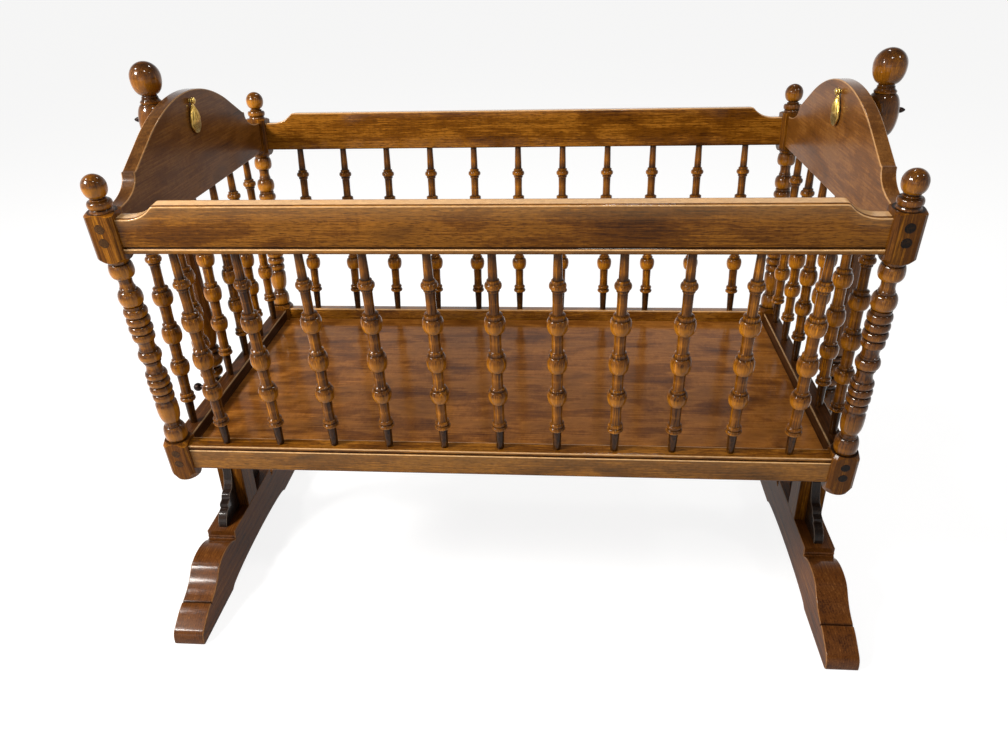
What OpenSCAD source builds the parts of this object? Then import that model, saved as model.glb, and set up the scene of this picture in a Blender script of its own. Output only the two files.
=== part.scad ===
// Swinging cradle on a stand, spool-turned wood with brass drops.
// Frame: X along the cradle, Y from front to back, Z up, floor at Z = 0.
// The long sides lean outward by the cant angle. Their pieces are drawn in an
// upright side frame, whose Z runs up the side from the top of the bottom rail
// and whose -Y points outward, and are then leaned and set in place.

/* [Cradle] */
// Distance between the corner post axes along the cradle
post_spacing = 956; // [800:1:1100]
// Distance between the front and back post axes at the top of the bottom rails
base_depth = 488; // [420:2:600]
// Outward lean of the long sides, in degrees
cant = 5.45; // [0:0.05:8]
// Height of the top of the bottom rails above the floor
rail_top_z = 386; // [340:1:440]
// Free length of a side spindle, between the rails
spindle_len = 307.6; // [260:1:340]

/* [Corner posts] */
// Side of the square post blocks
post_w = 36.5; // [34:0.5:44]
// Chamfer on the long edges of the blocks
post_chamfer = 5; // [3:0.5:7]
// Top of the lower block above the rail top
low_block_top = 7.3; // [5:0.1:12]
// Length of the lower block
low_block_len = 67.8; // [62:0.2:80]
// Start of the upper block below the underside of the top rail
high_block_drop = 9.6; // [6:0.2:14]
// Length of the upper block
high_block_len = 64.4; // [60:0.2:76]
// Radius of the ball finials
ball_r = 15; // [12:0.1:18]
// Height of the ball centre above the upper block
ball_rise = 30.7; // [26:0.1:36]
// Crown radius of the turned rings on the posts
ring_r = 15.6; // [13:0.1:17]

/* [Rails] */
// Thickness of the side rails
rail_t = 22; // [18:0.5:26]
// Height of the bottom side rails
low_rail_h = 44; // [40:1:56]
// Height of the top side rails in the middle
top_rail_h = 63.7; // [60:0.1:76]
// Drop of the scooped ends of the top rails
scoop_drop = 16.7; // [8:0.1:22]
// Flat low stretch beside each post
scoop_flat = 13; // [8:1:40]
// Length of the scoop curve
scoop_run = 42; // [30:1:60]
// Distance of the groove from the rail edge
groove_in = 7.2; // [6:0.1:9]
// Width of the groove
groove_w = 3; // [2:0.1:4]
// Thickness of the end rails
end_rail_t = 26; // [20:0.5:30]
// Height of the end rails
end_rail_h = 57; // [50:1:70]
// Length of the rail tenons
tenon_l = 15; // [10:0.5:18]
// Thickness of the rail tenons
tenon_t = 11; // [8:0.5:13]

/* [End panels] */
// Thickness of the end panels
panel_t = 19; // [16:0.5:24]
// Height of a panel from its straight lower edge to the top of the arch
panel_rise = 148.3; // [130:0.5:165]
// Height of the cove start at the posts
cove_z = 50; // [46:0.5:56]
// Height of the small ledge over the cove
ledge_z = 80.5; // [78:0.5:90]
// Half width of the arch at the ledge
arch_half = 200; // [190:1:215]

/* [Spindles] */
// Distance between spindles on the long sides
side_pitch = 80.8; // [70:0.2:86]
// Number of spindles on each long side
side_count = 11; // [9:2:11]
// Distance between spindles on the ends
end_pitch = 76; // [68:0.5:80]
// Rise of the beads on the end spindles over those on the sides
end_lift = 4.5; // [0:0.5:6]
// Number of spindles on each end
end_count = 6; // [4:2:6]
// Largest radius of a spindle
bulb_r = 14.1; // [11:0.1:15]
// Radius of the thin necks of a spindle
neck_r = 6.2; // [5:0.1:7]
// Radius of the round tenons of a spindle
peg_r = 4.5; // [3.5:0.1:5]
// Depth of the round tenons
peg_l = 11; // [8:0.5:14]

/* [Platform] */
// Thickness of the platform board
deck_t = 10; // [8:0.5:14]
// Depth of the board's top below the rail top
deck_drop = 18.2; // [15:0.1:24]
// Gap between the board's edges and the rails
deck_gap = 0.5; // [0.4:0.1:2]
// Width of the ledger strips
ledger_w = 18; // [14:0.5:22]

/* [Stand] */
// Distance of a stand post axis outside the corner post axis
stand_offset = 50; // [49:0.5:60]
// Distance of the pivot below the top of the end panels
pivot_drop = 40; // [34:0.5:50]
// Side of the square base block
base_w = 46; // [42:0.5:48]
// Height of the base block
base_h = 157; // [150:1:165]
// Height of a foot at its pad
foot_h = 93; // [84:1:104]
// Length of a foot, front to back
foot_len = 562; // [500:2:620]
// Width of a foot
foot_w = 52; // [46:0.5:56]
// Offset of the foot outward from the post axis
foot_shift = 3; // [0:0.5:4]
// Height of the arch under a foot
foot_arch = 14; // [8:0.5:20]
// Half length of the arch under a foot
arch_run = 150; // [120:2:170]
// Half length of the pad
pad_half = 98; // [94:1:110]
// Thickness of the scroll brackets
bracket_t = 16; // [12:0.5:20]
// Radius of the large ball finials
finial_r = 22.3; // [20:0.1:26]
// Crown radius of the urn at the pivot
urn_r = 23; // [20:0.1:25]
// Thickness of the stretcher
stretcher_t = 20; // [16:0.5:24]
// Height of the stretcher
stretcher_h = 58; // [40:1:70]
// Height of the stretcher's underside over the foot pad
stretcher_rise = 90; // [60:1:94]

/* [Hardware] */
// Radius of the pivot pins
pin_r = 4; // [3.5:0.1:4.5]
// Radial running clearance of pins in their bores
pin_clear = 0.06; // [0.03:0.01:0.09]
// Length of the pivot tip that stands out of the urn
pin_tip = 9; // [5:0.5:12]
// Wall of the pivot bushes
bush_wall = 3; // [2:0.1:4]
// Running gap between a spacer and the end panel
spacer_gap = 0.5; // [0.3:0.1:1]
// Wood left between a bush and the panel's inner face
bush_land = 4; // [3:0.1:6]
// Radius of the dark plugs
plug_r = 6.35; // [5.5:0.05:7]
// Depth of the plugs
plug_l = 6; // [4:0.5:7]
// Radius of the screw shanks
screw_r = 2.4; // [2:0.1:2.8]
// Reach of the screws into the end pieces
screw_reach = 28; // [22:0.5:30]
// Reach of the stretcher bolts into the stretcher
bolt_reach = 40; // [30:1:60]
// Reach of the foot bolts into the base blocks
foot_bolt_reach = 40; // [25:1:44]
// Height of the lock pins over the floor
lock_z = 338; // [332:0.5:346]
// Radius of the lock pin rods
lock_r = 4; // [3:0.1:4.5]
// Radius of the lock pin knobs
knob_r = 7.5; // [6:0.1:9]
// Gap between a parked lock pin and the end rail
lock_gap = 3; // [2:0.5:4]
// Length of a brass drop below its post
drop_l = 46; // [34:0.5:48]
// Width of a brass drop
drop_w = 28; // [20:0.5:30]
// Thickness of a brass drop
drop_t = 3.6; // [2.5:0.1:4.5]
// Height of the drop post over the pivot
drop_rise = 26; // [22:0.5:30]

/* [Hidden] */
$fn = 48;
e = 0.01;
px = post_spacing / 2;
half_y = base_depth / 2;
pw2 = post_w / 2;
inner_x = px - pw2;
turned_0 = low_block_top;
turned_1 = spindle_len - high_block_drop;
turned_k = (turned_1 - turned_0) / 290.7;
high_top = turned_1 + high_block_len;
low_plugs = [-29.4, -10.8];
high_plugs = [turned_1 + 28.3, turned_1 + 46.7];
top_w = spindle_len + top_rail_h;
low_w = top_w - scoop_drop;
panel_z = rail_top_z + spindle_len * cos(cant);
panel_top = panel_z + panel_rise;
pivot_z = panel_top - pivot_drop;
deck_top = rail_top_z - deck_drop;
deck_z = deck_top - deck_t;
end_rail_z = rail_top_z - end_rail_h;
stand_x = px + stand_offset;
foot_x = stand_x + foot_shift;
block_top = foot_h + base_h;
stretcher_z = foot_h + stretcher_rise;
panel_out = px + panel_t / 2;
panel_in = px - panel_t / 2;
drop_z = pivot_z + drop_rise;
bush_r = pin_r + bush_wall;

// ---- curves ----

// Distance from the middle plane to a leaned plane, set off outward, at a height
function lean_y(z, off) = half_y + (z - rail_top_z) * tan(cant) + off / cos(cant);

// Half-round swelling between two heights, from an edge radius to a crown radius
function bead(w0, w1, e0, c, n = 6) =
    [for (i = [0:n]) [e0 + (c - e0) * sin(180 * i / n), (w0 + w1) / 2 - (w1 - w0) / 2 * cos(180 * i / n)]];

// Swelling with its crown at wm and different end radii
function bulb(w0, wm, w1, r0, c, r1, n = 4) = concat(
    [for (i = [0:n]) [r0 + (c - r0) * sin(90 * i / n), wm - (wm - w0) * cos(90 * i / n)]],
    [for (i = [1:n]) [r1 + (c - r1) * cos(90 * i / n), wm + (w1 - wm) * sin(90 * i / n)]]);

// S-shaped change of radius between two heights
function ease(w0, w1, r0, r1, n = 5) =
    [for (i = [0:n]) [r0 + (r1 - r0) * (1 - cos(180 * i / n)) / 2, w0 + (w1 - w0) * i / n]];

// Hollow between two heights that dips from an edge radius to a waist radius
function hollow(w0, w1, r0, waist, r1, n = 6) =
    [for (i = [0:n]) [r0 + (r1 - r0) * i / n - ((r0 + r1) / 2 - waist) * sin(180 * i / n), w0 + (w1 - w0) * i / n]];

// Points of a four-point curve
function curve(a, b, c, d, n = 8) =
    [for (i = [0:n]) let (t = i / n, s = 1 - t) s * s * s * a + 3 * s * s * t * b + 3 * s * t * t * c + t * t * t * d];

// Same points on the other side of the middle, in reverse order
function mirrored(pts) = [for (i = [len(pts) - 1:-1:0]) [-pts[i][0], pts[i][1]]];

// ---- placing ----

// Puts a piece drawn in the side frame on the front (s = -1) or the back (s = 1)
module on_side(s) {
    mirror([0, s > 0 ? 1 : 0, 0])
        translate([0, -half_y, rail_top_z])
            rotate([cant, 0, 0])
                children();
}

// Keeps a piece drawn for the right end (s = 1) or turns it to the left end (s = -1)
module on_end(s) {
    mirror([s < 0 ? 1 : 0, 0, 0])
        children();
}

// Cylinder along X between two positions
module rod_x(x0, x1, r) {
    translate([x0, 0, 0])
        rotate([0, 90, 0])
            cylinder(h = x1 - x0, r = r);
}

// Cylinder along Y between two positions
module rod_y(y0, y1, r) {
    translate([0, y1, 0])
        rotate([90, 0, 0])
            cylinder(h = y1 - y0, r = r);
}

// ---- corner posts ----

// Square block with chamfered edges and turned ends, which cut arches in its faces
module post_block(w0, w1, dip0, dip1) {
    a = pw2;
    b = pw2 - post_chamfer;
    g = norm([a, b]) - a;
    intersection() {
        translate([0, 0, w0 - 6])
            linear_extrude(w1 - w0 + 12)
                polygon([[a, b], [b, a], [-b, a], [-a, b], [-a, -b], [-b, -a], [b, -a], [a, -b]]);
        rotate_extrude()
            polygon([[0, w0 - 2], [a * 0.6, w0 - 1.6], [a, w0], [a + 2 * g, w0 + 2 * dip0],
                [a + 2 * g, w1 - 2 * dip1], [a, w1], [0, w1]]);
    }
}

// Turned part of a corner post between its blocks, from the bottom up
function post_turning() = let (k = turned_k, z = turned_0, r = ring_r, g = 12.3) concat(
    [[0, z - 3], [13.8, z - 3], [13.8, z]],
    bulb(z + 0.5 * k, z + 11 * k, z + 25 * k, 14.4, r + 0.6, 11.8),
    [[11.8, z + 27 * k], [10.9, z + 28 * k], [10.9, z + 32 * k]],
    curve([10.9, z + 32 * k], [14.2, z + 38 * k], [r - 0.3, z + 46 * k], [r - 0.5, z + 56 * k], 5),
    [[r - 0.5, z + 64 * k], [g, z + 69 * k]],
    bead(z + 70 * k, z + 82 * k, g, r - 0.7),
    bead(z + 83 * k, z + 95 * k, g, r),
    bead(z + 96 * k, z + 107 * k, g, r),
    bead(z + 108 * k, z + 118.5 * k, g, r - 0.6),
    hollow(z + 119 * k, z + 134 * k, 12.4, 10.4, 11.6),
    [[12.3, z + 134.5 * k], [12.3, z + 136.5 * k], [11.6, z + 137 * k]],
    bead(z + 137.5 * k, z + 153 * k, 11.6, r, 8),
    [[11.9, z + 153.5 * k], [11.9, z + 156 * k]],
    hollow(z + 156.5 * k, z + 169 * k, 11.2, 10.7, 12),
    bead(z + 169.5 * k, z + 181 * k, g, r - 0.7),
    bead(z + 182 * k, z + 193.5 * k, g, r + 0.3),
    bead(z + 194.5 * k, z + 206 * k, g, r),
    bead(z + 207 * k, z + 219 * k, g, r),
    [[12.8, z + 219.5 * k], [12.8, z + 223 * k]],
    bead(z + 223.5 * k, z + 246 * k, 10.4, r, 8),
    [[10.2, z + 246.5 * k], [10.2, z + 249.5 * k]],
    hollow(z + 250 * k, z + 263.5 * k, 9.6, 8.6, 9.6),
    bulb(z + 264 * k, z + 273.5 * k, z + 285 * k, 10.4, r, 12.6),
    [[12.9, z + 286 * k], [14.2, turned_1 - 1.5], [14.2, turned_1 + 3], [0, turned_1 + 3]]);

// Collar and ball on top of the upper block
function post_top() = let (z = high_top, r = ball_r, c = ball_rise) concat(
    [[0, z - 3], [14.9, z - 3]],
    bulb(z - 0.5, z + 1.8, z + 13.6, 14.9, 15.3, 9),
    [[9, z + 15.2], [8.1, z + 15.8]],
    [for (i = [0:12]) let (q = -58 + 148 * i / 12) [max(0, r * cos(q)), z + c + r * sin(q)]],
    [[0, z + c + r]]);

module rail_mortises() {
    t = tenon_t;
    translate([-pw2 - e, -t / 2, -low_rail_h + 7])
        cube([tenon_l + e, t, low_rail_h - 18]);
    translate([-pw2 - e, -t / 2, spindle_len + 12])
        cube([tenon_l + e, t, top_rail_h - scoop_drop - 22]);
}

// Plug, head and shank space of one screw, along Y from the outer face inward
module screw_bore() {
    rod_y(-pw2 - e, -pw2 + plug_l, plug_r);
    rod_y(-pw2 + plug_l - e, -pw2 + plug_l + 3, screw_r * 1.9);
    rod_y(-pw2 + plug_l, pw2 + screw_reach, screw_r);
}

module all_screw_bores() {
    for (w = concat(low_plugs, high_plugs))
        translate([0, 0, w])
            screw_bore();
}

module corner_post(sx, sy) {
    on_end(sx)
        on_side(sy)
            translate([px, 0, 0])
                difference() {
                    union() {
                        post_block(low_block_top - low_block_len, low_block_top, 10.1, 5.7);
                        post_block(turned_1, high_top, 5, 2.4);
                        rotate_extrude()
                            polygon(post_turning());
                        rotate_extrude()
                            polygon(post_top());
                    }
                    rail_mortises();
                    all_screw_bores();
                }
}

// ---- rails ----

// V groove along X in a side rail's outer face
module rail_groove(w) {
    translate([-px, -rail_t / 2, w])
        rotate([90, 0, 90])
            linear_extrude(2 * px)
                polygon([[-e, -groove_w / 2], [-e, groove_w / 2], [groove_w * 0.6, 0]]);
}

// Bores for the spindle tenons in a side rail, from a height, upward or downward
module side_peg_bores(w) {
    for (i = [0:side_count - 1])
        translate([(i - (side_count - 1) / 2) * side_pitch, 0, w])
            cylinder(h = peg_l + e, r = peg_r);
}

module top_rail(s) {
    x0 = inner_x - scoop_flat;
    r = scoop_run;
    d = scoop_drop;
    k = [x0 - r * 0.83, low_w + d * 0.86];
    edge = concat(
        [[inner_x, spindle_len], [inner_x, low_w]],
        curve([x0, low_w], [x0 - r * 0.36, low_w], [x0 - r * 0.65, low_w + d * 0.36], k),
        curve(k, [x0 - r * 0.86, low_w + d * 0.945], [x0 - r * 0.9, top_w], [x0 - r, top_w], 5));
    on_side(s)
        difference() {
            union() {
                translate([0, rail_t / 2, 0])
                    rotate([90, 0, 0])
                        linear_extrude(rail_t)
                            polygon(concat(edge, mirrored(edge)));
                translate([-inner_x - tenon_l, -tenon_t / 2, spindle_len + 12])
                    cube([2 * (inner_x + tenon_l), tenon_t, top_rail_h - scoop_drop - 22]);
            }
            rail_groove(spindle_len + groove_in + groove_w / 2);
            side_peg_bores(spindle_len - e);
        }
}

module bottom_rail(s) {
    on_side(s)
        difference() {
            union() {
                translate([-inner_x, -rail_t / 2, -low_rail_h])
                    cube([2 * inner_x, rail_t, low_rail_h]);
                translate([-inner_x - tenon_l, -tenon_t / 2, -low_rail_h + 7])
                    cube([2 * (inner_x + tenon_l), tenon_t, low_rail_h - 18]);
            }
            rail_groove(-groove_in);
            side_peg_bores(-peg_l);
        }
}

// Space of all screws that run into one end, for cutting its rail and panel
module end_screws() {
    for (s = [-1, 1])
        on_side(s)
            translate([px, 0, 0])
                all_screw_bores();
}

// Bores for the tenons of the end spindles from a height
module end_peg_bores(z) {
    for (i = [0:end_count - 1])
        translate([px, (i - (end_count - 1) / 2) * end_pitch, z])
            cylinder(h = peg_l + e, r = peg_r);
}

module end_rail(s) {
    z0 = end_rail_z;
    z1 = rail_top_z;
    y0 = lean_y(z0, -pw2);
    y1 = lean_y(z1, -pw2);
    on_end(s)
        difference() {
            translate([px - end_rail_t / 2, 0, 0])
                rotate([90, 0, 90])
                    linear_extrude(end_rail_t)
                        polygon([[-y0, z0], [y0, z0], [y1, z1], [-y1, z1]]);
            end_screws();
            end_peg_bores(z1 - peg_l);
            translate([0, 0, lock_z])
                rod_x(px + end_rail_t / 2 - 14, px + end_rail_t / 2 + e, lock_r + 0.3);
        }
}

// ---- end panels ----

// Right half of the outline of an end panel, from its lower corner to the top
function panel_edge() = let (z = panel_z, a = arch_half, c = z + cove_z, l = z + ledge_z, t = panel_top,
    yc = lean_y(c, -pw2)) concat(
    [[lean_y(z, -pw2), z], [yc, c]],
    [for (i = [1:6]) [yc - (yc - a) * sin(15 * i), l - 2 - (l - 2 - c) * cos(15 * i)]],
    [[a, l], [a - 5, l + 0.5]],
    curve([a - 5, l + 0.5], [a * 0.9, l + 9], [a * 0.82, t - 50], [a * 0.725, t - 39.2]),
    curve([a * 0.725, t - 39.2], [a * 0.6, t - 24.5], [a * 0.33, t], [0, t]));

module end_panel(s) {
    pts = panel_edge();
    on_end(s)
        difference() {
            translate([panel_in, 0, 0])
                rotate([90, 0, 90])
                    linear_extrude(panel_t)
                        polygon(concat(pts, mirrored(pts)));
            end_screws();
            end_peg_bores(panel_z - e);
            translate([0, 0, pivot_z])
                rod_x(panel_in + bush_land, panel_out + e, bush_r);
            translate([0, 0, drop_z])
                rod_x(panel_in - e, panel_in + 10, 2.2);
        }
}

// ---- spindles ----

// Profile of a spindle of a given length, with both tenons
function spindle_profile(len) = let (k = len / 307.6, r = bulb_r, n = neck_r, m = neck_r + 1.5) concat(
    [[0, -peg_l], [peg_r, -peg_l], [peg_r, 0], [n - 0.9, 0], [n - 0.4, 12 * k], [n + 0.3, 33.5 * k]],
    bead(34.5 * k, 41.2 * k, 8.6, 11.4, 4),
    bead(41.6 * k, 47.6 * k, 8.4, 10.4, 4),
    [[m, 48.6 * k], [m - 0.4, 62 * k], [m, 79 * k]],
    bulb(80 * k, 93.5 * k, 101.5 * k, 8.2, r - 0.5, 10),
    [[9.8, 102 * k], [9.8, 105.4 * k], [m + 0.4, 106.4 * k], [m - 0.1, 119 * k], [m + 0.2, 131.5 * k]],
    bulb(132.5 * k, 146 * k, 157.5 * k, 8.4, r - 0.2, 10.2),
    [[10, 158 * k], [10, 163.4 * k], [m + 0.4, 164.6 * k], [m, 178 * k], [m + 0.4, 191.5 * k]],
    bulb(192.5 * k, 205 * k, 213.8 * k, 8.8, r, 11),
    [[10.6, 214.4 * k], [10.6, 219.4 * k], [n + 0.9, 221 * k], [n + 0.4, 237 * k], [n + 0.7, 252 * k]],
    [[8.3, 253.6 * k], [8.3, 256.4 * k]],
    bead(256.8 * k, 265 * k, 8.6, 11.2, 5),
    [[8.3, 265.5 * k], [8.3, 268.4 * k], [n, 269.4 * k], [n - 0.2, 283 * k], [n - 0.7, 300 * k]],
    [[n - 0.7, len], [peg_r, len], [peg_r, len + peg_l], [0, len + peg_l]]);

// Profile with all between its foot and its upper peg moved up by d
function lifted(pts, len, d) =
    [for (p = pts) p[1] > 0.09 * len && p[1] < 0.99 * len ? [p[0], p[1] + d * len / 307.6] : p];

module spindle(len, d = 0) {
    rotate_extrude()
        polygon(lifted(spindle_profile(len), len, d));
}

module side_spindles(s) {
    on_side(s)
        for (i = [0:side_count - 1])
            translate([(i - (side_count - 1) / 2) * side_pitch, 0, 0])
                spindle(spindle_len);
}

module end_spindles(s) {
    on_end(s)
        for (i = [0:end_count - 1])
            translate([px, (i - (end_count - 1) / 2) * end_pitch, rail_top_z])
                spindle(panel_z - rail_top_z, end_lift);
}

// ---- platform ----

module platform() {
    hx = px - end_rail_t / 2 - deck_gap;
    hy = lean_y(deck_z, -rail_t / 2) - deck_gap;
    ny = lean_y(deck_z, -pw2) - deck_gap;
    nx = inner_x - deck_gap;
    color([0.47, 0.2, 0.12])
        translate([0, 0, deck_z])
            linear_extrude(deck_t)
                polygon([[hx, ny], [nx, ny], [nx, hy], [-nx, hy], [-nx, ny], [-hx, ny],
                    [-hx, -ny], [-nx, -ny], [-nx, -hy], [nx, -hy], [nx, -ny], [hx, -ny]]);
}

module ledger_strips() {
    z1 = deck_z;
    z0 = rail_top_z - (low_rail_h - 2) * cos(cant);
    ya = lean_y(z0, -rail_t / 2);
    yb = lean_y(z1, -rail_t / 2);
    long_half = inner_x - 2;
    color([0.5, 0.34, 0.2]) {
        for (s = [-1, 1])
            translate([-long_half, 0, 0])
                rotate([90, 0, 90])
                    linear_extrude(2 * long_half)
                        polygon([[s * ya, z0], [s * yb, z1], [s * (ya - ledger_w), z1], [s * (ya - ledger_w), z0]]);
        for (s = [-1, 1])
            on_end(s)
                translate([px - end_rail_t / 2 - ledger_w, -half_y + ledger_w + 40, z0])
                    cube([ledger_w, 2 * (half_y - ledger_w - 40), z1 - z0]);
    }
}

// ---- plugs and screws ----

module post_plugs() {
    color([0.16, 0.1, 0.07])
        for (sx = [-1, 1], sy = [-1, 1])
            on_end(sx)
                on_side(sy)
                    for (w = concat(low_plugs, high_plugs))
                        translate([px, 0, w])
                            rod_y(-pw2 + 0.3, -pw2 + plug_l, plug_r);
}

module post_screws() {
    color([0.6, 0.6, 0.62])
        for (sx = [-1, 1], sy = [-1, 1])
            on_end(sx)
                on_side(sy)
                    for (w = concat(low_plugs, high_plugs))
                        translate([px, 0, w]) {
                            rod_y(-pw2 + plug_l, -pw2 + plug_l + 3, screw_r * 1.9);
                            rod_y(-pw2 + plug_l + 2, pw2 + screw_reach, screw_r);
                        }
}

// ---- pivot ----

module pivot_bushes() {
    color([0.72, 0.55, 0.24])
        for (s = [-1, 1])
            on_end(s)
                translate([0, 0, pivot_z])
                    difference() {
                        rod_x(panel_in + bush_land, panel_out, bush_r);
                        rod_x(panel_in + bush_land + 2, panel_out + e, pin_r + pin_clear);
                    }
}

module pivot_pins() {
    x1 = stand_x + urn_r + pin_tip;
    color([0.2, 0.17, 0.15])
        for (s = [-1, 1])
            on_end(s)
                translate([panel_in + bush_land + 3, 0, pivot_z])
                    rotate([0, 90, 0])
                        rotate_extrude()
                            polygon([[0, 0], [pin_r - 0.6, 0], [pin_r, 0.8], [pin_r, x1 - panel_in - bush_land - 6],
                                [pin_r - 1.2, x1 - panel_in - bush_land - 4], [0, x1 - panel_in - bush_land - 3]]);
}

module pivot_spacers() {
    color([0.72, 0.55, 0.24])
        for (s = [-1, 1])
            on_end(s)
                translate([0, 0, pivot_z])
                    difference() {
                        rod_x(panel_out + spacer_gap, stand_x - urn_r - 0.05, pin_r + 3.5);
                        rod_x(panel_out, stand_x, pin_r);
                    }
}

// ---- stand ----

// Turned part of a stand post over its base block, from the bottom up
function stand_turning() = let (z = block_top, q = lock_z, p = pivot_z, k = (p - q) / 462.5,
    f = (q - z) / 88) concat(
    [[0, z - 4], [base_w / 2 - 1.5, z - 4], [base_w / 2 - 1.5, z + 1]],
    hollow(z + 1.5, z + 12 * f, 21, 13, 13),
    bead(z + 13 * f, z + 22 * f, 12, 17, 5),
    [[11.5, z + 23 * f], [10.5, z + 30 * f]],
    bead(z + 34 * f, z + 64 * f, 10.6, 15, 6),
    [[11.5, z + 65 * f]],
    bulb(q - 21, q, q + 18, 11.5, 19, 10.5, 5),
    [[10.3, q + 22 * k]],
    bead(q + 26 * k, q + 42.5 * k, 12.5, 18.2, 6),
    [[13, q + 43 * k], [13, q + 45 * k]],
    bead(q + 45.5 * k, q + 71 * k, 14.5, 22.8, 8),
    [[15.5, q + 71.5 * k], [15.5, q + 73 * k]],
    bead(q + 73.5 * k, q + 81 * k, 15.8, 19.6, 5),
    curve([15.8, q + 82 * k], [20.5, q + 92 * k], [23.5, q + 120 * k], [20.4, q + 146 * k], 6),
    curve([20.4, q + 146 * k], [17.6, q + 172 * k], [15.2, q + 240 * k], [12.2, q + 396 * k], 8),
    [[13.4, q + 397 * k], [13.4, q + 400 * k]],
    bead(q + 400.5 * k, q + 410 * k, 12.6, 16, 5),
    hollow(q + 411 * k, p - 35, 13, 10.6, 12),
    bulb(p - 34, p - 3, p + 24, 11.5, urn_r, 12.4, 7),
    [[15.3, p + 24.4], [15.3, p + 26.6], [12.4, p + 29.6], [12.4, p + 30.6], [11.2, p + 31.4], [11.2, p + 34.5]],
    [for (i = [0:14]) let (a = -60 + 150 * i / 14) [max(0, finial_r * cos(a)), p + 60 + finial_r * sin(a)]],
    [[0, p + 60 + finial_r]]);

module stand_post(s) {
    b = base_w / 2;
    on_end(s)
        difference() {
            union() {
                translate([stand_x - b, -b, foot_h])
                    cube([base_w, base_w, base_h]);
                translate([stand_x, 0, foot_h - 45])
                    cylinder(h = 46, r = 12);
                translate([stand_x, 0, 0])
                    rotate_extrude()
                        polygon(stand_turning());
            }
            translate([0, 0, pivot_z])
                rod_x(stand_x - urn_r - 5, stand_x + urn_r + 5, pin_r);
            translate([0, 0, lock_z])
                rod_x(stand_x - 30, stand_x + 30, lock_r + pin_clear);
            translate([stand_x - b - e, -tenon_t / 2, stretcher_z + 8])
                cube([tenon_l + e, tenon_t, stretcher_h - 16]);
            stretcher_bolt_space();
            foot_bolt_space();
        }
}

// Upper edge of a foot from the end of its pad to the toe, on the +Y side
function foot_edge() = let (p = pad_half, h = foot_h, l = foot_len / 2, k = (l - p) / 181) concat(
    [[p, h], [p, h - 10], [p + 1.6, h - 12], [p + 1.6, h - 13.8], [p + 0.4, h - 15.6], [p + 2, h - 16.6]],
    curve([p + 6 * k, h - 16], [p + 20 * k, h - 5], [p + 52 * k, h - 1], [p + 74 * k, h - 12]),
    curve([p + 74 * k, h - 12], [p + 88 * k, h - 21], [p + 92 * k, h - 35], [p + 125.5 * k, h - 46]),
    [[p + 129 * k, h - 50], [p + 132.5 * k, h - 47]],
    curve([p + 132.5 * k, h - 47], [p + 148 * k, h - 51.5], [p + 160 * k, h - 60], [p + 172 * k, h - 67], 5),
    curve([p + 172 * k, h - 67], [l + 0.4, h - 73], [l, h - 82], [l, h - 93 + min(h - 86, 0)], 5));

module foot(s) {
    // the outline is drawn for the half with positive Y and mirrored
    under = [for (i = [0:6]) [arch_run * cos(15 * i), foot_arch * sin(15 * i)]];
    top = [for (p = foot_edge()) [p[0], max(p[1], 0)]];
    half = concat([[foot_len / 2, 0]], under);
    on_end(s)
        difference() {
            translate([foot_x - foot_w / 2, 0, 0])
                rotate([90, 0, 90])
                    linear_extrude(foot_w)
                        polygon(concat(top, half, mirrored(half), mirrored(top)));
            translate([stand_x, 0, foot_h - 45])
                cylinder(h = 46, r = 12);
            foot_bolt_space();
        }
}

// Outline of a scroll bracket, out from the base block and up from the pad
function bracket_edge() = let (b = base_w / 2, z = foot_h) concat(
    [[b, z], [b + 64, z]],
    curve([b + 64, z], [b + 63, z + 12], [b + 55, z + 22], [b + 48, z + 25.5], 5),
    [[b + 42.5, z + 27], [b + 43.4, z + 31], [b + 42, z + 35.5]],
    [[b + 32, z + 38.5]],
    curve([b + 32, z + 38.5], [b + 30.5, z + 44], [b + 27, z + 48], [b + 23, z + 49], 3),
    [[b + 15.5, z + 50]],
    curve([b + 15.5, z + 50], [b + 9, z + 58], [b + 4.5, z + 68], [b + 3.4, z + 86], 5),
    [[b, z + 87]]);

module brackets(s) {
    on_end(s)
        for (f = [-1, 1])
            mirror([0, f < 0 ? 1 : 0, 0])
                translate([foot_x - bracket_t / 2, 0, 0])
                    rotate([90, 0, 90])
                        linear_extrude(bracket_t)
                            polygon(bracket_edge());
}

module stretcher() {
    hx = stand_x - base_w / 2;
    color([0.42, 0.24, 0.13])
        difference() {
            union() {
                translate([-hx, -stretcher_t / 2, stretcher_z])
                    cube([2 * hx, stretcher_t, stretcher_h]);
                translate([-hx - tenon_l, -tenon_t / 2, stretcher_z + 8])
                    cube([2 * (hx + tenon_l), tenon_t, stretcher_h - 16]);
            }
            for (s = [-1, 1])
                on_end(s)
                    stretcher_bolt_space();
        }
}

module stretcher_bolt_space() {
    x1 = stand_x + base_w / 2;
    translate([0, 0, stretcher_z + stretcher_h / 2]) {
        rod_x(x1 - 5, x1 + e, 7);
        rod_x(x1 - base_w - bolt_reach, x1, 3);
    }
}

module stretcher_bolts() {
    x1 = stand_x + base_w / 2;
    color([0.6, 0.6, 0.62])
        for (s = [-1, 1])
            on_end(s)
                translate([0, 0, stretcher_z + stretcher_h / 2]) {
                    rod_x(x1 - 5, x1 - 0.5, 7);
                    rod_x(x1 - base_w - bolt_reach, x1 - 1, 3);
                }
}

// Head pocket and shank of the bolt that comes up through a foot
module foot_bolt_space() {
    translate([stand_x, 0, foot_arch - e])
        cylinder(h = 8 + e, r = 9);
    translate([stand_x, 0, foot_arch])
        cylinder(h = foot_h - foot_arch + foot_bolt_reach, r = 4);
}

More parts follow.
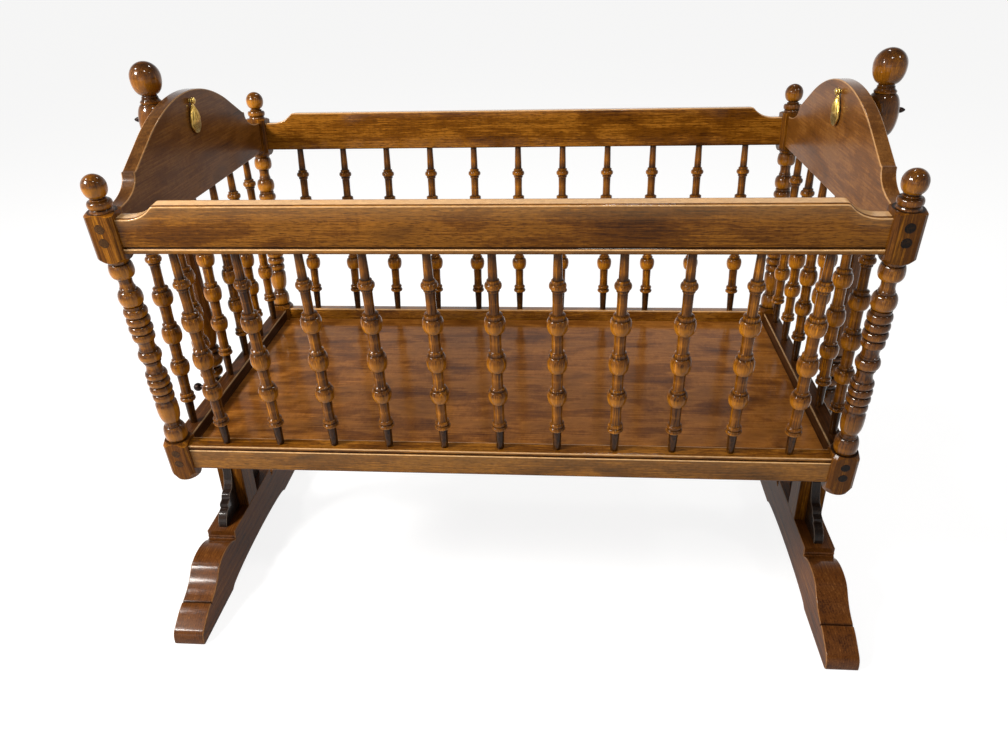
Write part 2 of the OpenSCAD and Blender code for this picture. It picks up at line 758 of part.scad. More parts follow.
module foot_bolts() {
    color([0.6, 0.6, 0.62])
        for (s = [-1, 1])
            on_end(s) {
                translate([stand_x, 0, foot_arch + 2])
                    cylinder(h = 6, r = 9);
                translate([stand_x, 0, foot_arch + 3])
                    cylinder(h = foot_h - foot_arch + foot_bolt_reach - 3, r = 4);
            }
}

// ---- lock pins ----

module lock_pin(s) {
    x0 = px + end_rail_t / 2 + lock_gap;
    x1 = stand_x + 19 + 8;
    on_end(s)
        translate([x0, 0, lock_z])
            rotate([0, 90, 0])
                rotate_extrude()
                    polygon(concat([[0, 0], [lock_r - 1, 0], [lock_r, 1.5], [lock_r, x1 - x0]],
                        [for (i = [0:10]) let (a = -57 + 147 * i / 10)
                            [max(0, knob_r * cos(a)), x1 - x0 + 6.4 + knob_r * sin(a)]],
                        [[0, x1 - x0 + 6.4 + knob_r]]));
}

// ---- brass drops ----

module drop_posts() {
    color([0.72, 0.55, 0.24])
        for (s = [-1, 1])
            on_end(s)
                translate([panel_in + 9.5, 0, drop_z])
                    rotate([0, -90, 0])
                        rotate_extrude()
                            polygon(concat([[0, 0], [2.2, 0], [2.2, 9.5], [6, 9.5], [5.4, 11], [2.2, 11.3],
                                [2.2, 12 + drop_t + 0.5]],
                                [for (i = [0:8]) let (a = -50 + 140 * i / 8)
                                    [max(0, 3.9 * cos(a)), 15 + drop_t + 0.5 + 3.9 * sin(a)]],
                                [[0, 18.9 + drop_t + 0.5]]));
}

// Right half of the outline of a drop, from its neck to its tip, hanging down
function drop_edge() = concat(
    curve([2.2, -3.6], [2.2, -8], [drop_w * 0.36, -drop_l * 0.36], [drop_w * 0.48, -drop_l * 0.62]),
    curve([drop_w * 0.48, -drop_l * 0.62], [drop_w * 0.6, -drop_l * 0.9], [drop_w * 0.3, -drop_l], [0, -drop_l]));

module brass_drop(s) {
    pts = drop_edge();
    x0 = panel_in - 2.1;
    color([0.72, 0.55, 0.24])
        on_end(s)
            translate([x0, 0, drop_z])
                rotate([0, -90, 0])
                    rotate([0, 0, -90])
                        difference() {
                            union() {
                                linear_extrude(drop_t)
                                    polygon(concat(pts, mirrored(pts)));
                                cylinder(h = drop_t, r = 4.8);
                                translate([0, -drop_l * 0.66, drop_t - e])
                                    cylinder(h = 1.4, r1 = drop_w * 0.3, r2 = drop_w * 0.2);
                            }
                            translate([0, 0, -1])
                                cylinder(h = drop_t + 2, r = 2.2 + 0.3);
                        }
}

// ---- coloured sub-parts ----

module end_panel_left() color([0.55, 0.38, 0.24]) end_panel(-1);
module end_panel_right() color([0.55, 0.38, 0.24]) end_panel(1);
module post_front_left() color([0.6, 0.42, 0.25]) corner_post(-1, -1);
module post_front_right() color([0.6, 0.42, 0.25]) corner_post(1, -1);
module post_back_left() color([0.6, 0.42, 0.25]) corner_post(-1, 1);
module post_back_right() color([0.6, 0.42, 0.25]) corner_post(1, 1);
module top_rail_front() color([0.62, 0.44, 0.27]) top_rail(-1);
module top_rail_back() color([0.62, 0.44, 0.27]) top_rail(1);
module bottom_rail_front() color([0.62, 0.44, 0.27]) bottom_rail(-1);
module bottom_rail_back() color([0.62, 0.44, 0.27]) bottom_rail(1);
module end_rail_left() color([0.42, 0.22, 0.13]) end_rail(-1);
module end_rail_right() color([0.42, 0.22, 0.13]) end_rail(1);
module spindles_front() color([0.58, 0.38, 0.2]) side_spindles(-1);
module spindles_back() color([0.58, 0.38, 0.2]) side_spindles(1);
module spindles_left() color([0.5, 0.31, 0.17]) end_spindles(-1);
module spindles_right() color([0.5, 0.31, 0.17]) end_spindles(1);
module brass_drop_left() brass_drop(-1);
module brass_drop_right() brass_drop(1);
module foot_left() color([0.45, 0.24, 0.14]) foot(-1);
module foot_right() color([0.45, 0.24, 0.14]) foot(1);
module stand_post_left() color([0.4, 0.22, 0.13]) stand_post(-1);
module stand_post_right() color([0.4, 0.22, 0.13]) stand_post(1);
module brackets_left() color([0.3, 0.14, 0.1]) brackets(-1);
module brackets_right() color([0.3, 0.14, 0.1]) brackets(1);
module lock_pin_left() color([0.2, 0.15, 0.12]) lock_pin(-1);
module lock_pin_right() color([0.2, 0.15, 0.12]) lock_pin(1);

end_panel_left();
end_panel_right();
post_front_left();
post_front_right();
post_back_left();
post_back_right();
top_rail_front();
top_rail_back();
bottom_rail_front();
bottom_rail_back();
end_rail_left();
end_rail_right();
platform();
ledger_strips();
spindles_front();
spindles_back();
spindles_left();
spindles_right();
post_plugs();
post_screws();
pivot_bushes();
drop_posts();
brass_drop_left();
brass_drop_right();
foot_left();
foot_right();
stand_post_left();
stand_post_right();
brackets_left();
brackets_right();
stretcher();
stretcher_bolts();
foot_bolts();
pivot_pins();
pivot_spacers();
lock_pin_left();
lock_pin_right();
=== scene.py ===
import math
import random

import bpy
from mathutils import Matrix, Vector


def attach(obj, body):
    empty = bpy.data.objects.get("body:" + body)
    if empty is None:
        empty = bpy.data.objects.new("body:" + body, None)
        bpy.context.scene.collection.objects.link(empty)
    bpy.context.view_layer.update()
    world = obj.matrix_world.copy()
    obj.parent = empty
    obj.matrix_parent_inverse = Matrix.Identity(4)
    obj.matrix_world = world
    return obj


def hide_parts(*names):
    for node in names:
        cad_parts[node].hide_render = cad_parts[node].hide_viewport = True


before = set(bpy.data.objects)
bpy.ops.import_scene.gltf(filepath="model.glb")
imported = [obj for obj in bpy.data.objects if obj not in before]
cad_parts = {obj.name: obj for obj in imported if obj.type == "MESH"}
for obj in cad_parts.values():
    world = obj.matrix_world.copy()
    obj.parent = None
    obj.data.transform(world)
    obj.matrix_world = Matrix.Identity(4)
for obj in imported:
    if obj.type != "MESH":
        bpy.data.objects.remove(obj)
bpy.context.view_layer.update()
scene = bpy.context.scene
scene.view_settings.view_transform = "Standard"

# ---- sizes, in millimetres, as in the part ----

PX = 478.0                          # corner posts, end panels and end rails lie round x = +-PX
HALF_Y = 244.0                      # middle of a side at the height of the bottom rails' tops
CANT = math.radians(5.45)           # outward lean of the sides
RAIL_Z = 386.0                      # tops of the bottom rails
SPAN = 307.6                        # from a bottom rail up to its top rail, along the lean
PW = 18.25                          # half the side of a post block
CHAMFER = 5.0
LOW_TOP = 7.3                       # blocks of the corner posts, along the lean from RAIL_Z
LOW_BOTTOM = LOW_TOP - 67.8
TURN_1 = SPAN - 9.6
TURN_K = (TURN_1 - LOW_TOP) / 290.7
HIGH_TOP = TURN_1 + 64.4
INNER_X = PX - PW
RAIL_T = 22.0
TOP_RAIL_H = 63.7
LOW_RAIL_H = 44.0
SCOOP = 16.7
GROOVE_Z = 8.7                      # groove of a top rail over its lower edge
LOW_GROOVE_DROP = 7.2               # groove of a bottom rail below its top
END_RAIL_H = 57.0
END_RAIL_T = 26.0
SIDE_SPINDLES, SIDE_PITCH = 11, 80.8
END_SPINDLES, END_PITCH = 6, 76.0
PANEL_T = 19.0
PANEL_Z = RAIL_Z + SPAN * math.cos(CANT)
PANEL_TOP = PANEL_Z + 148.3
DECK_DROP = 18.2                    # top of the platform below the rails' tops
DECK_T = 10.0
DECK_GAP = 0.5
PIVOT_Z = PANEL_TOP - 40
STAND_X = PX + 50
STAND_HALF = 23.0                   # half the side of a stand post's base block
FOOT_X = STAND_X + 3
FOOT_H = 93.0
FOOT_T = 52.0
FOOT_HALF = 281.0
BRACKET_T = 16.0
BLOCK_TOP = FOOT_H + 157
LOCK_Z = 338.0
DROP_Z = PIVOT_Z + 26
PEG_L = 84.5


def lean_y(z, off):
    """Depth at height z of the plane that lies off outside the middle of a side."""
    return HALF_Y + (z - RAIL_Z) * math.tan(CANT) + off / math.cos(CANT)


# ---- curves ----

def sind(a):
    return math.sin(math.radians(a))


def cosd(a):
    return math.cos(math.radians(a))


def bead(w0, w1, e0, c, n=12):
    """Half round of a turned profile from w0 to w1, radius e0 at both edges and c at the crown."""
    return [(e0 + (c - e0) * sind(180 * i / n), (w0 + w1) / 2 - (w1 - w0) / 2 * cosd(180 * i / n))
            for i in range(n + 1)]


def bulb(w0, wm, w1, r0, c, r1, n=8):
    """Swelling from radius r0 at w0 over c at wm to r1 at w1."""
    return ([(r0 + (c - r0) * sind(90 * i / n), wm - (wm - w0) * cosd(90 * i / n)) for i in range(n + 1)]
            + [(r1 + (c - r1) * cosd(90 * i / n), wm + (w1 - wm) * sind(90 * i / n)) for i in range(1, n + 1)])


def hollow(w0, w1, r0, waist, r1, n=10):
    """Cove from radius r0 at w0 by its waist to r1 at w1."""
    return [(r0 + (r1 - r0) * i / n - ((r0 + r1) / 2 - waist) * sind(180 * i / n), w0 + (w1 - w0) * i / n)
            for i in range(n + 1)]


def curve(a, b, c, d, n=12):
    """Bezier curve from a to d."""
    out = []
    for i in range(n + 1):
        t = i / n
        s = 1 - t
        out.append(tuple(s * s * s * a[k] + 3 * s * s * t * b[k] + 3 * s * t * t * c[k] + t * t * t * d[k]
                         for k in range(2)))
    return out


def mirrored(pts):
    return [(-p[0], p[1]) for p in reversed(pts)]


def ball(r, z, a0, n=18):
    """Quarter circle of radius r round height z, from the angle a0 up to the top."""
    return [(max(0.0, r * cosd(a0 + (90 - a0) * i / n)), z + r * sind(a0 + (90 - a0) * i / n))
            for i in range(n + 1)]


# ---- placing ----

ENDS = ((-1, "left"), (1, "right"))
SIDES = ((-1, "front"), (1, "back"))


def shift(x, y, z):
    return Matrix.Translation((x, y, z))


def side(s):
    """Frame of the leaning front (s = -1) or back side: z along the posts, y outward for the back."""
    m = shift(0, -HALF_Y, RAIL_Z) @ Matrix.Rotation(CANT, 4, "X")
    return (Matrix.Scale(-1, 4, (0, 1, 0)) @ m) if s > 0 else m


def end(s):
    """The right end as it is, or mirrored to the left one (s = -1)."""
    return Matrix.Scale(-1, 4, (1, 0, 0)) if s < 0 else Matrix.Identity(4)


ALONG_X = Matrix.Rotation(math.radians(90), 4, "Y")
GRAIN_X = Matrix.Rotation(math.radians(-90), 4, "Y")
GRAIN_Y = Matrix.Rotation(math.radians(90), 4, "X")
MM = 0.001


# ---- mesh gathering ----

class Piece:
    """Gathers closed shapes of one piece: places in mm, grain coordinates in m, a tone of dark glazing, painted shade
    and painted light, and a gloss.
    """

    def __init__(self, seed):
        self.verts, self.faces, self.grain, self.tone, self.gloss = [], [], [], [], []
        self.rng = random.Random(seed)

    def add(self, verts, faces, place, tone=None, grain=None, gloss=None):
        """Z runs along the grain, after the turn grain where it is given, each shape from its own spot of the log."""
        base = len(self.verts)
        r = self.rng
        off = Vector((r.uniform(0.04, 0.12) * r.choice((-1, 1)), r.uniform(-0.05, 0.05), r.uniform(-40, 40)))
        turn = Matrix.Rotation(r.uniform(0, 6.28), 3, "Z")
        flip = place.determinant() < 0
        for p in verts:
            q = Vector(p)
            self.verts.append(place @ q * MM)
            self.grain.append((turn @ (q * MM) if grain is None else (grain @ q) * MM) + off)
        self.tone += tone or [0.0] * len(verts)
        self.gloss += gloss or [1.0] * len(verts)
        for f in faces:
            f = [base + i for i in f]
            self.faces.append(f[::-1] if flip else f)

    def join(self, other):
        base = len(self.verts)
        self.verts += other.verts
        self.grain += other.grain
        self.tone += other.tone
        self.gloss += other.gloss
        self.faces += [[base + i for i in f] for f in other.faces]

    def make(self, name, material, body, nodes, slot, sharp=38):
        me = bpy.data.meshes.new(name)
        me.from_pydata([tuple(v) for v in self.verts], [], self.faces)
        me.validate()
        for attr, kind, key, data in (("grain", "FLOAT_VECTOR", "vector", [c for v in self.grain for c in v]),
                                      ("tone", "FLOAT", "value", self.tone),
                                      ("gloss", "FLOAT", "value", self.gloss)):
            me.attributes.new(attr, kind, "POINT").data.foreach_set(key, data)
        me.shade_smooth()
        me.set_sharp_from_angle(angle=math.radians(sharp))
        me.materials.append(material)
        ob = bpy.data.objects.new(name, me)
        scene.collection.objects.link(ob)
        m = ob.modifiers.new("normals", "WEIGHTED_NORMAL")
        m.keep_sharp = True
        m.weight = 80
        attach(ob, body)
        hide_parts(*nodes)
        return ob


SHARP_CREASE = 0.35     # sine of the least inward turn of the profile that counts as a crease
CREASE_FADE = 2.5       # mm along the profile
VALLEY_REACH = 9.0      # mm along the profile


def turned_tone(pts):
    """Tone along a turned profile: above 0 dark glazing with painted shade in creases and necks, and painted shade on
    the upper sides; below 0 painted light, most on the lower sides.
    """
    n = len(pts)
    dist = [0.0]
    for a, b in zip(pts, pts[1:]):
        dist.append(dist[-1] + math.hypot(b[0] - a[0], b[1] - a[1]))
    marks = []
    for i in range(1, n - 1):
        a, b, c = pts[i - 1], pts[i], pts[i + 1]
        u = (b[0] - a[0], b[1] - a[1])
        v = (c[0] - b[0], c[1] - b[1])
        lu, lv = math.hypot(*u), math.hypot(*v)
        if lu < 1e-6 or lv < 1e-6:
            continue
        cross = (u[0] * v[1] - u[1] * v[0]) / (lu * lv)
        if cross < -SHARP_CREASE:
            marks.append((dist[i], min(1.0, -cross)))
    out = []
    for i in range(n):
        r = max(pts[i][0], 0.01)
        high = max(p[0] for p, q in zip(pts, dist) if abs(q - dist[i]) < VALLEY_REACH)
        # dark glazing with painted shade in the necks and creases
        valley = min(1.0, max(0.0, (high - r) / 5.0))
        crease = max([m * math.exp(-abs(dist[i] - q) / CREASE_FADE) for q, m in marks] + [0.0])
        a, b = pts[max(i - 1, 0)], pts[min(i + 1, n - 1)]
        up = (a[0] - b[0]) / max(math.hypot(b[0] - a[0], b[1] - a[1]), 1e-6)
        # painted shade on the upper sides of the swellings
        shade = 0.85 * max(0.0, up) ** 0.8 * min(1.0, max(0.0, r - 6) / 5)
        # painted light over the thicker parts, most on their lower sides
        painted_lower_light = (0.25 + 0.75 * max(0.0, -up)) * (1 - shade) * min(1.0, max(0.0, r - 5) / 5)
        out.append(max(0.4 * valley, min(1.0, 1.15 * crease), shade) - 0.75 * painted_lower_light)
    return out


def lathe(rows, cols, tones):
    """Closed surface round Z. A row is (r, w); r and w may be functions of the column's angle."""
    verts, faces, tone = [], [], []
    index = []
    n = len(cols)
    for (r, w), t in zip(rows, tones):
        if not callable(r) and abs(r) < 1e-6:
            index.append([len(verts)] * n)
            verts.append((0.0, 0.0, w))
            tone.append(t)
            continue
        index.append([len(verts) + i for i in range(n)])
        for a in cols:
            rr, ww = (q(a) if callable(q) else q for q in (r, w))
            verts.append((rr * math.cos(a), rr * math.sin(a), ww))
        tone += [t] * n
    for p, q in zip(index, index[1:]):
        for i in range(n):
            j = (i + 1) % n
            if p[i] == p[j] and q[i] == q[j]:
                continue
            if p[i] == p[j]:
                faces.append((p[i], q[j], q[i]))
            elif q[i] == q[j]:
                faces.append((p[i], p[j], q[i]))
            else:
                faces.append((p[i], p[j], q[j], q[i]))
    return verts, faces, tone


def even(n):
    return [2 * math.pi * i / n for i in range(n)]


def square_section(a, ch, soft, face=8):
    """Columns, and a radius for each, of a square of half side a with chamfers ch, its corners softened a little."""
    b = a - ch
    d = math.sqrt(0.5)
    quad = [(a, -b + soft + (2 * b - 2 * soft) * i / face) for i in range(face + 1)]
    quad += [(a - 0.28 * soft * d, b + 0.2 * soft), (a - soft * d, b + soft * d), (b + soft * d, a - soft * d),
             (b + 0.2 * soft, a - 0.28 * soft * d)]
    pts = []
    for q in range(4):
        c, s = cosd(90 * q), sind(90 * q)
        pts += [(x * c - y * s, x * s + y * c) for x, y in quad]
    cols = [math.atan2(y, x) % (2 * math.pi) for x, y in pts]
    radii = {round(c, 6): math.hypot(x, y) for c, (x, y) in zip(cols, pts)}
    return sorted(cols), (lambda t: radii[round(t, 6)])


def loop_area(pts):
    """Twice the signed area of a closed outline."""
    return sum(a[0] * b[1] - b[0] * a[1] for a, b in zip(pts, pts[1:] + pts[:1]))


def inset_limits(pts, r):
    """Inward normals of a closed outline, and how far each point may be set in."""
    n = len(pts)
    sgn = 1 if loop_area(pts) > 0 else -1
    normals = []
    for i in range(n):
        a, b, c = pts[i - 1], pts[i], pts[(i + 1) % n]
        u = Vector((b[0] - a[0], b[1] - a[1])).normalized()
        v = Vector((c[0] - b[0], c[1] - b[1])).normalized()
        m = Vector((-(u.y + v.y), u.x + v.x)) * sgn
        m = m.normalized() if m.length > 1e-6 else Vector((-u.y, u.x)) * sgn
        k = max(0.5, m.dot(Vector((-u.y, u.x)) * sgn))
        normals.append(m / k)

    def clear(q):
        best = 1e9
        for i in range(n):
            a, b = Vector(pts[i]), Vector(pts[(i + 1) % n])
            ab = b - a
            h = max(0.0, min(1.0, (q - a).dot(ab) / max(ab.length_squared, 1e-9)))
            best = min(best, (q - a - ab * h).length)
        return best

    lim = []
    for i in range(n):
        d = r
        while d > 0.08:
            q = Vector(pts[i]) + normals[i] * d
            if clear(q) > 0.86 * d:
                break
            d *= 0.8
        lim.append(d)
    lim = [min(lim[i - 1] * 1.25, lim[i], lim[(i + 1) % n] * 1.25) for i in range(n)]
    return normals, lim


def slab(pts, t, r, steps=4, painted_light=0.5, rim=0.0):
    """Outline in (y, z), thickness t along x, edges rounded by r; the rounded edges are lightened as painted
    highlights, and the rim tone darkens the outline surface between the faces.
    """
    normals, lim = inset_limits(pts, r)
    n = len(pts)
    order = []
    for sgn, ks in ((-1, range(steps, -1, -1)), (1, range(steps + 1))):
        for k in ks:
            a = math.pi / 2 * k / steps
            order.append([(sgn * (t / 2 - d + d * math.sin(a)), p[0] + m.x * d * (1 - math.cos(a)),
                           p[1] + m.y * d * (1 - math.cos(a))) for p, m, d in zip(pts, normals, lim)])
    verts = [p for ring in order for p in ring]
    edge = [rim if k == 0 else -painted_light * math.sin(math.pi * k / steps) for k in range(steps + 1)]
    tone = [q for q in list(reversed(edge)) + edge for _ in pts]
    faces = []
    for k in range(len(order) - 1):
        for i in range(n):
            j = (i + 1) % n
            faces.append((k * n + i, k * n + j, (k + 1) * n + j, (k + 1) * n + i))
    faces.append(tuple(range(n))[::-1])
    faces.append(tuple((len(order) - 1) * n + i for i in range(n)))
    if loop_area(pts) < 0:
        faces = [f[::-1] for f in faces]
    return verts, faces, tone


def rim_gloss(pts, side, steps=4):
    """Gloss for slab(): full on the rim, side on the two faces."""
    ramp = [1.0 - (1.0 - side) * k / steps for k in range(steps + 1)]
    return [q for q in list(reversed(ramp)) + ramp for _ in pts]


def sweep(sections, tones):
    """Closed body through equal loops of points."""
    n = len(sections[0])
    verts = [p for s in sections for p in s]
    tone = [t for s in sections for t in tones]
    faces = []
    for k in range(len(sections) - 1):
        for i in range(n):
            j = (i + 1) % n
            faces.append((k * n + i, (k + 1) * n + i, (k + 1) * n + j, k * n + j))
    faces.append(tuple(range(n)))
    faces.append(tuple((len(sections) - 1) * n + i for i in range(n))[::-1])
    return verts, faces, tone


# ---- materials ----

def srgb(r, g, b):
    """Linear colour of 8-bit values."""
    return tuple(c / 12.92 if c <= 0.04045 else ((c + 0.055) / 1.055) ** 2.4
                 for c in (r / 255, g / 255, b / 255)) + (1.0,)


def node(nt, kind, **sets):
    n = nt.nodes.new(kind)
    for k, v in sets.items():
        if k in n.inputs.keys():
            n.inputs[k].default_value = v
        else:
            setattr(n, k, v)
    return n


def feed(nt, socket, v):
    """Set a socket, or link an output to it."""
    if isinstance(v, (int, float, tuple)):
        socket.default_value = v
    else:
        nt.links.new(v, socket)


def mathn(nt, op, a, b, clamp=False):
    n = nt.nodes.new("ShaderNodeMath")
    n.operation = op
    n.use_clamp = clamp
    feed(nt, n.inputs[0], a)
    feed(nt, n.inputs[1], b)
    return n.outputs[0]


def mixc(nt, fac, a, b):
    n = nt.nodes.new("ShaderNodeMix")
    n.data_type = "RGBA"
    for key, v in ((0, fac), (6, a), (7, b)):
        feed(nt, n.inputs[key], v)
    return n.outputs[2]


def scaled(nt, vec, x, y, z):
    m = nt.nodes.new("ShaderNodeVectorMath")
    m.operation = "MULTIPLY"
    nt.links.new(vec, m.inputs[0])
    m.inputs[1].default_value = (x, y, z)
    return m.outputs[0]


def noise(nt, vec, detail=3.0, rough=0.55, dist=0.0):
    n = node(nt, "ShaderNodeTexNoise", Scale=1.0, Detail=detail, Roughness=rough, Distortion=dist)
    nt.links.new(vec, n.inputs["Vector"])
    return n.outputs["Fac"]


def span(nt, val, lo, hi, a=0.0, b=1.0):
    n = node(nt, "ShaderNodeMapRange")
    for k, v in (("From Min", lo), ("From Max", hi), ("To Min", a), ("To Max", b)):
        n.inputs[k].default_value = v
    nt.links.new(val, n.inputs["Value"])
    return n.outputs["Result"]


def nodes_of(name):
    """A new material, its node tree and its shader."""
    mat = bpy.data.materials.new(name)
    mat.use_nodes = True
    return mat, mat.node_tree, mat.node_tree.nodes["Principled BSDF"]


def wood(name, dark, mid, light, ring=4.0, coat=0.7, coat_rough=0.08, coat_ior=1.24, blotch=0.5, pore=0.55,
         curl=0.12, plain=1.0, ringw=0.14, stain_and_shade=(26, 13, 5), painted_light_colour=(226, 184, 132), turned=None):
    """Stained and lacquered wood; the grain runs along Z of the grain coordinates, or of the turned object's own."""
    mat, nt, bsdf = nodes_of(name)
    dark, mid, light, stain_and_shade, painted_light_colour = (srgb(*c) for c in (dark, mid, light, stain_and_shade, painted_light_colour))
    if turned is None:
        vec = node(nt, "ShaderNodeAttribute", attribute_name="grain").outputs["Vector"]
        tone = node(nt, "ShaderNodeAttribute", attribute_name="tone").outputs["Fac"]
    else:
        coords = nt.nodes.new("ShaderNodeTexCoord")
        mapping = nt.nodes.new("ShaderNodeMapping")
        mapping.inputs["Rotation"].default_value = turned
        mapping.inputs["Location"].default_value = (0.08, 0.03, 0.7)
        nt.links.new(coords.outputs["Object"], mapping.inputs["Vector"])
        vec, tone = mapping.outputs["Vector"], None
    # growth rings, bent by a slow noise
    wave = node(nt, "ShaderNodeTexWave", wave_type="RINGS", rings_direction="Z", wave_profile="SAW")
    for key, value in (("Scale", 314.0 / ring), ("Distortion", 6.0), ("Detail", 2.0), ("Detail Scale", 0.35)):
        wave.inputs[key].default_value = value
    nt.links.new(scaled(nt, vec, 1.0, 1.0, 0.05), wave.inputs["Vector"])
    fibre = noise(nt, scaled(nt, vec, 560, 560, 22), 4.0, 0.66)
    fine = noise(nt, scaled(nt, vec, 1500, 1500, 95), 2.0, 0.6)
    cloud = noise(nt, scaled(nt, vec, 26, 26, 8.5), 3.0, 0.6, 0.4)
    streak = noise(nt, scaled(nt, vec, 120, 120, 4.5), 3.0, 0.55)
    ripple = noise(nt, scaled(nt, vec, 70, 70, 190), 3.0, 0.6, 0.8)
    # place in the colour ramp: each pattern times its weight
    f = mathn(nt, "MULTIPLY", wave.outputs["Fac"], ringw * plain)
    for pattern, lo, hi, least, weight in ((fibre, 0.3, 0.7, 0.0, 0.36 * plain), (streak, 0.3, 0.7, 0.0, 0.20 * plain),
                                           (cloud, 0.32, 0.68, 0.0, 0.4 * blotch), (ripple, 0.25, 0.75, -1.0, curl)):
        f = mathn(nt, "ADD", f, mathn(nt, "MULTIPLY", span(nt, pattern, lo, hi, least), weight))
    f = mathn(nt, "ADD", f, 0.05 + 0.35 * (1 - plain))
    ramp = nt.nodes.new("ShaderNodeValToRGB")
    ramp.color_ramp.interpolation = "EASE"
    stops = ramp.color_ramp.elements
    stops[0].position, stops[0].color = 0.26, dark
    stops[1].position, stops[1].color = 0.80, light
    stops.new(0.52).color = mid
    nt.links.new(f, ramp.inputs["Fac"])
    dashes = span(nt, fine, 0.36, 0.50, 1.0, 0.0)
    col = mixc(nt, mathn(nt, "MULTIPLY", dashes, pore, True), ramp.outputs["Color"], dark)
    col = mixc(nt, mathn(nt, "MULTIPLY", span(nt, cloud, 0.5, 0.74), blotch * 0.6, True), col, dark)
    rough = mathn(nt, "ADD", mathn(nt, "MULTIPLY", fibre, 0.14), 0.29)
    bsdf.inputs["Coat Weight"].default_value = coat
    if tone is not None:
        # Tone above 0 darkens towards the dark colour, for glazing in the creases and for painted shade; below 0 it
        # lightens towards the light colour, for painted light and painted highlights.
        broken = span(nt, noise(nt, scaled(nt, vec, 300, 300, 160), 3.0, 0.6), 0.25, 0.7, 0.7, 1.15)
        glaze_and_shade = mathn(nt, "MULTIPLY", mathn(nt, "MAXIMUM", tone, 0.0), broken, True)
        col = mixc(nt, glaze_and_shade, col, stain_and_shade)
        painted_light = mathn(nt, "MULTIPLY", mathn(nt, "MAXIMUM", mathn(nt, "MULTIPLY", tone, -1.0), 0.0), broken, True)
        col = mixc(nt, painted_light, col, painted_light_colour)
        rough = mathn(nt, "ADD", rough, mathn(nt, "MULTIPLY", glaze_and_shade, 0.12))
        gloss = node(nt, "ShaderNodeAttribute", attribute_name="gloss").outputs["Fac"]
        nt.links.new(mathn(nt, "MULTIPLY", gloss, coat), bsdf.inputs["Coat Weight"])
    nt.links.new(col, bsdf.inputs["Base Color"])
    nt.links.new(rough, bsdf.inputs["Roughness"])
    bump = node(nt, "ShaderNodeBump", Strength=0.16, Distance=0.00025)
    nt.links.new(mathn(nt, "SUBTRACT", fibre, mathn(nt, "MULTIPLY", dashes, 0.4)), bump.inputs["Height"])
    nt.links.new(bump.outputs["Normal"], bsdf.inputs["Normal"])
    peel = node(nt, "ShaderNodeBump", Strength=0.08, Distance=0.0004)
    nt.links.new(noise(nt, scaled(nt, vec, 260, 260, 90), 2.0, 0.5), peel.inputs["Height"])
    nt.links.new(peel.outputs["Normal"], bsdf.inputs["Coat Normal"])
    bsdf.inputs["Specular IOR Level"].default_value = 0.04
    bsdf.inputs["Coat IOR"].default_value = coat_ior
    bsdf.inputs["Coat Roughness"].default_value = coat_rough
    return mat


def metal(name, low, high, rough, scale, dirt=None):
    """Cloudy metal, darkened towards the given dark colour where the tone is above 0."""
    mat, nt, bsdf = nodes_of(name)
    coords = nt.nodes.new("ShaderNodeTexCoord")
    cloud = noise(nt, scaled(nt, coords.outputs["Object"], scale, scale, scale), 4.0, 0.6)
    fine = noise(nt, scaled(nt, coords.outputs["Object"], scale * 6, scale * 6, scale * 2), 3.0, 0.6)
    col = mixc(nt, span(nt, cloud, 0.35, 0.65), srgb(*low), srgb(*high))
    rgh = mathn(nt, "ADD", mathn(nt, "MULTIPLY", fine, 0.2), rough - 0.1)
    if dirt is not None:
        tone = node(nt, "ShaderNodeAttribute", attribute_name="tone").outputs["Fac"]
        g = mathn(nt, "MULTIPLY", mathn(nt, "MAXIMUM", tone, 0.0), span(nt, cloud, 0.25, 0.7, 0.75, 1.1), True)
        col = mixc(nt, g, col, srgb(*dirt))
        rgh = mathn(nt, "ADD", rgh, mathn(nt, "MULTIPLY", g, 0.25))
    nt.links.new(col, bsdf.inputs["Base Color"])
    nt.links.new(rgh, bsdf.inputs["Roughness"])
    bump = node(nt, "ShaderNodeBump", Strength=0.12, Distance=0.0002)
    nt.links.new(fine, bump.inputs["Height"])
    nt.links.new(bump.outputs["Normal"], bsdf.inputs["Normal"])
    bsdf.inputs["Metallic"].default_value = 1.0
    return mat


# Colour of the painted light and painted highlights on the posts and spindles.
PAINTED_LIGHT_GOLD = (224, 146, 40)
M_PANEL = wood("panel_walnut", (54, 29, 7), (96, 57, 18), (138, 90, 40), ring=5.0, coat=1.0, coat_rough=0.18,
               pore=0.35, plain=0.5, curl=0.04, blotch=1.0)
M_RAIL = wood("rail_walnut", (46, 21, 1), (92, 52, 6), (144, 91, 24), ring=4.5, curl=0.04, coat=0.9, pore=0.8,
              plain=0.75, blotch=1.1)
M_POST = wood("post_walnut", (42, 20, 2), (96, 54, 6), (168, 107, 24), ring=3.5, coat=1.0, coat_rough=0.035,
              plain=0.8, pore=0.4, curl=0.03, painted_light_colour=PAINTED_LIGHT_GOLD, coat_ior=1.29)
M_SPINDLE = wood("spindle_walnut", (44, 21, 2), (110, 63, 6), (188, 118, 22), ring=3.0, coat=1.0, coat_rough=0.035,
                 plain=0.9, pore=0.4, curl=0.03, painted_light_colour=PAINTED_LIGHT_GOLD, coat_ior=1.22)
M_BOARD = wood("board_walnut", (64, 33, 9), (100, 57, 15), (140, 88, 34), ring=5.0, coat=1.0, coat_rough=0.13,
               curl=0.06, pore=0.35, plain=0.7, blotch=1.3, ringw=0.12)
M_FOOT = wood("stand_walnut", (44, 21, 5), (94, 52, 16), (140, 88, 38), coat=1.0, coat_rough=0.12, pore=0.4,
              curl=0.04, plain=0.8, painted_light_colour=(206, 160, 112))
M_END = wood("end_bar_walnut", (26, 12, 4), (58, 31, 10), (94, 56, 24), coat=0.2, coat_rough=0.14, curl=0.04)
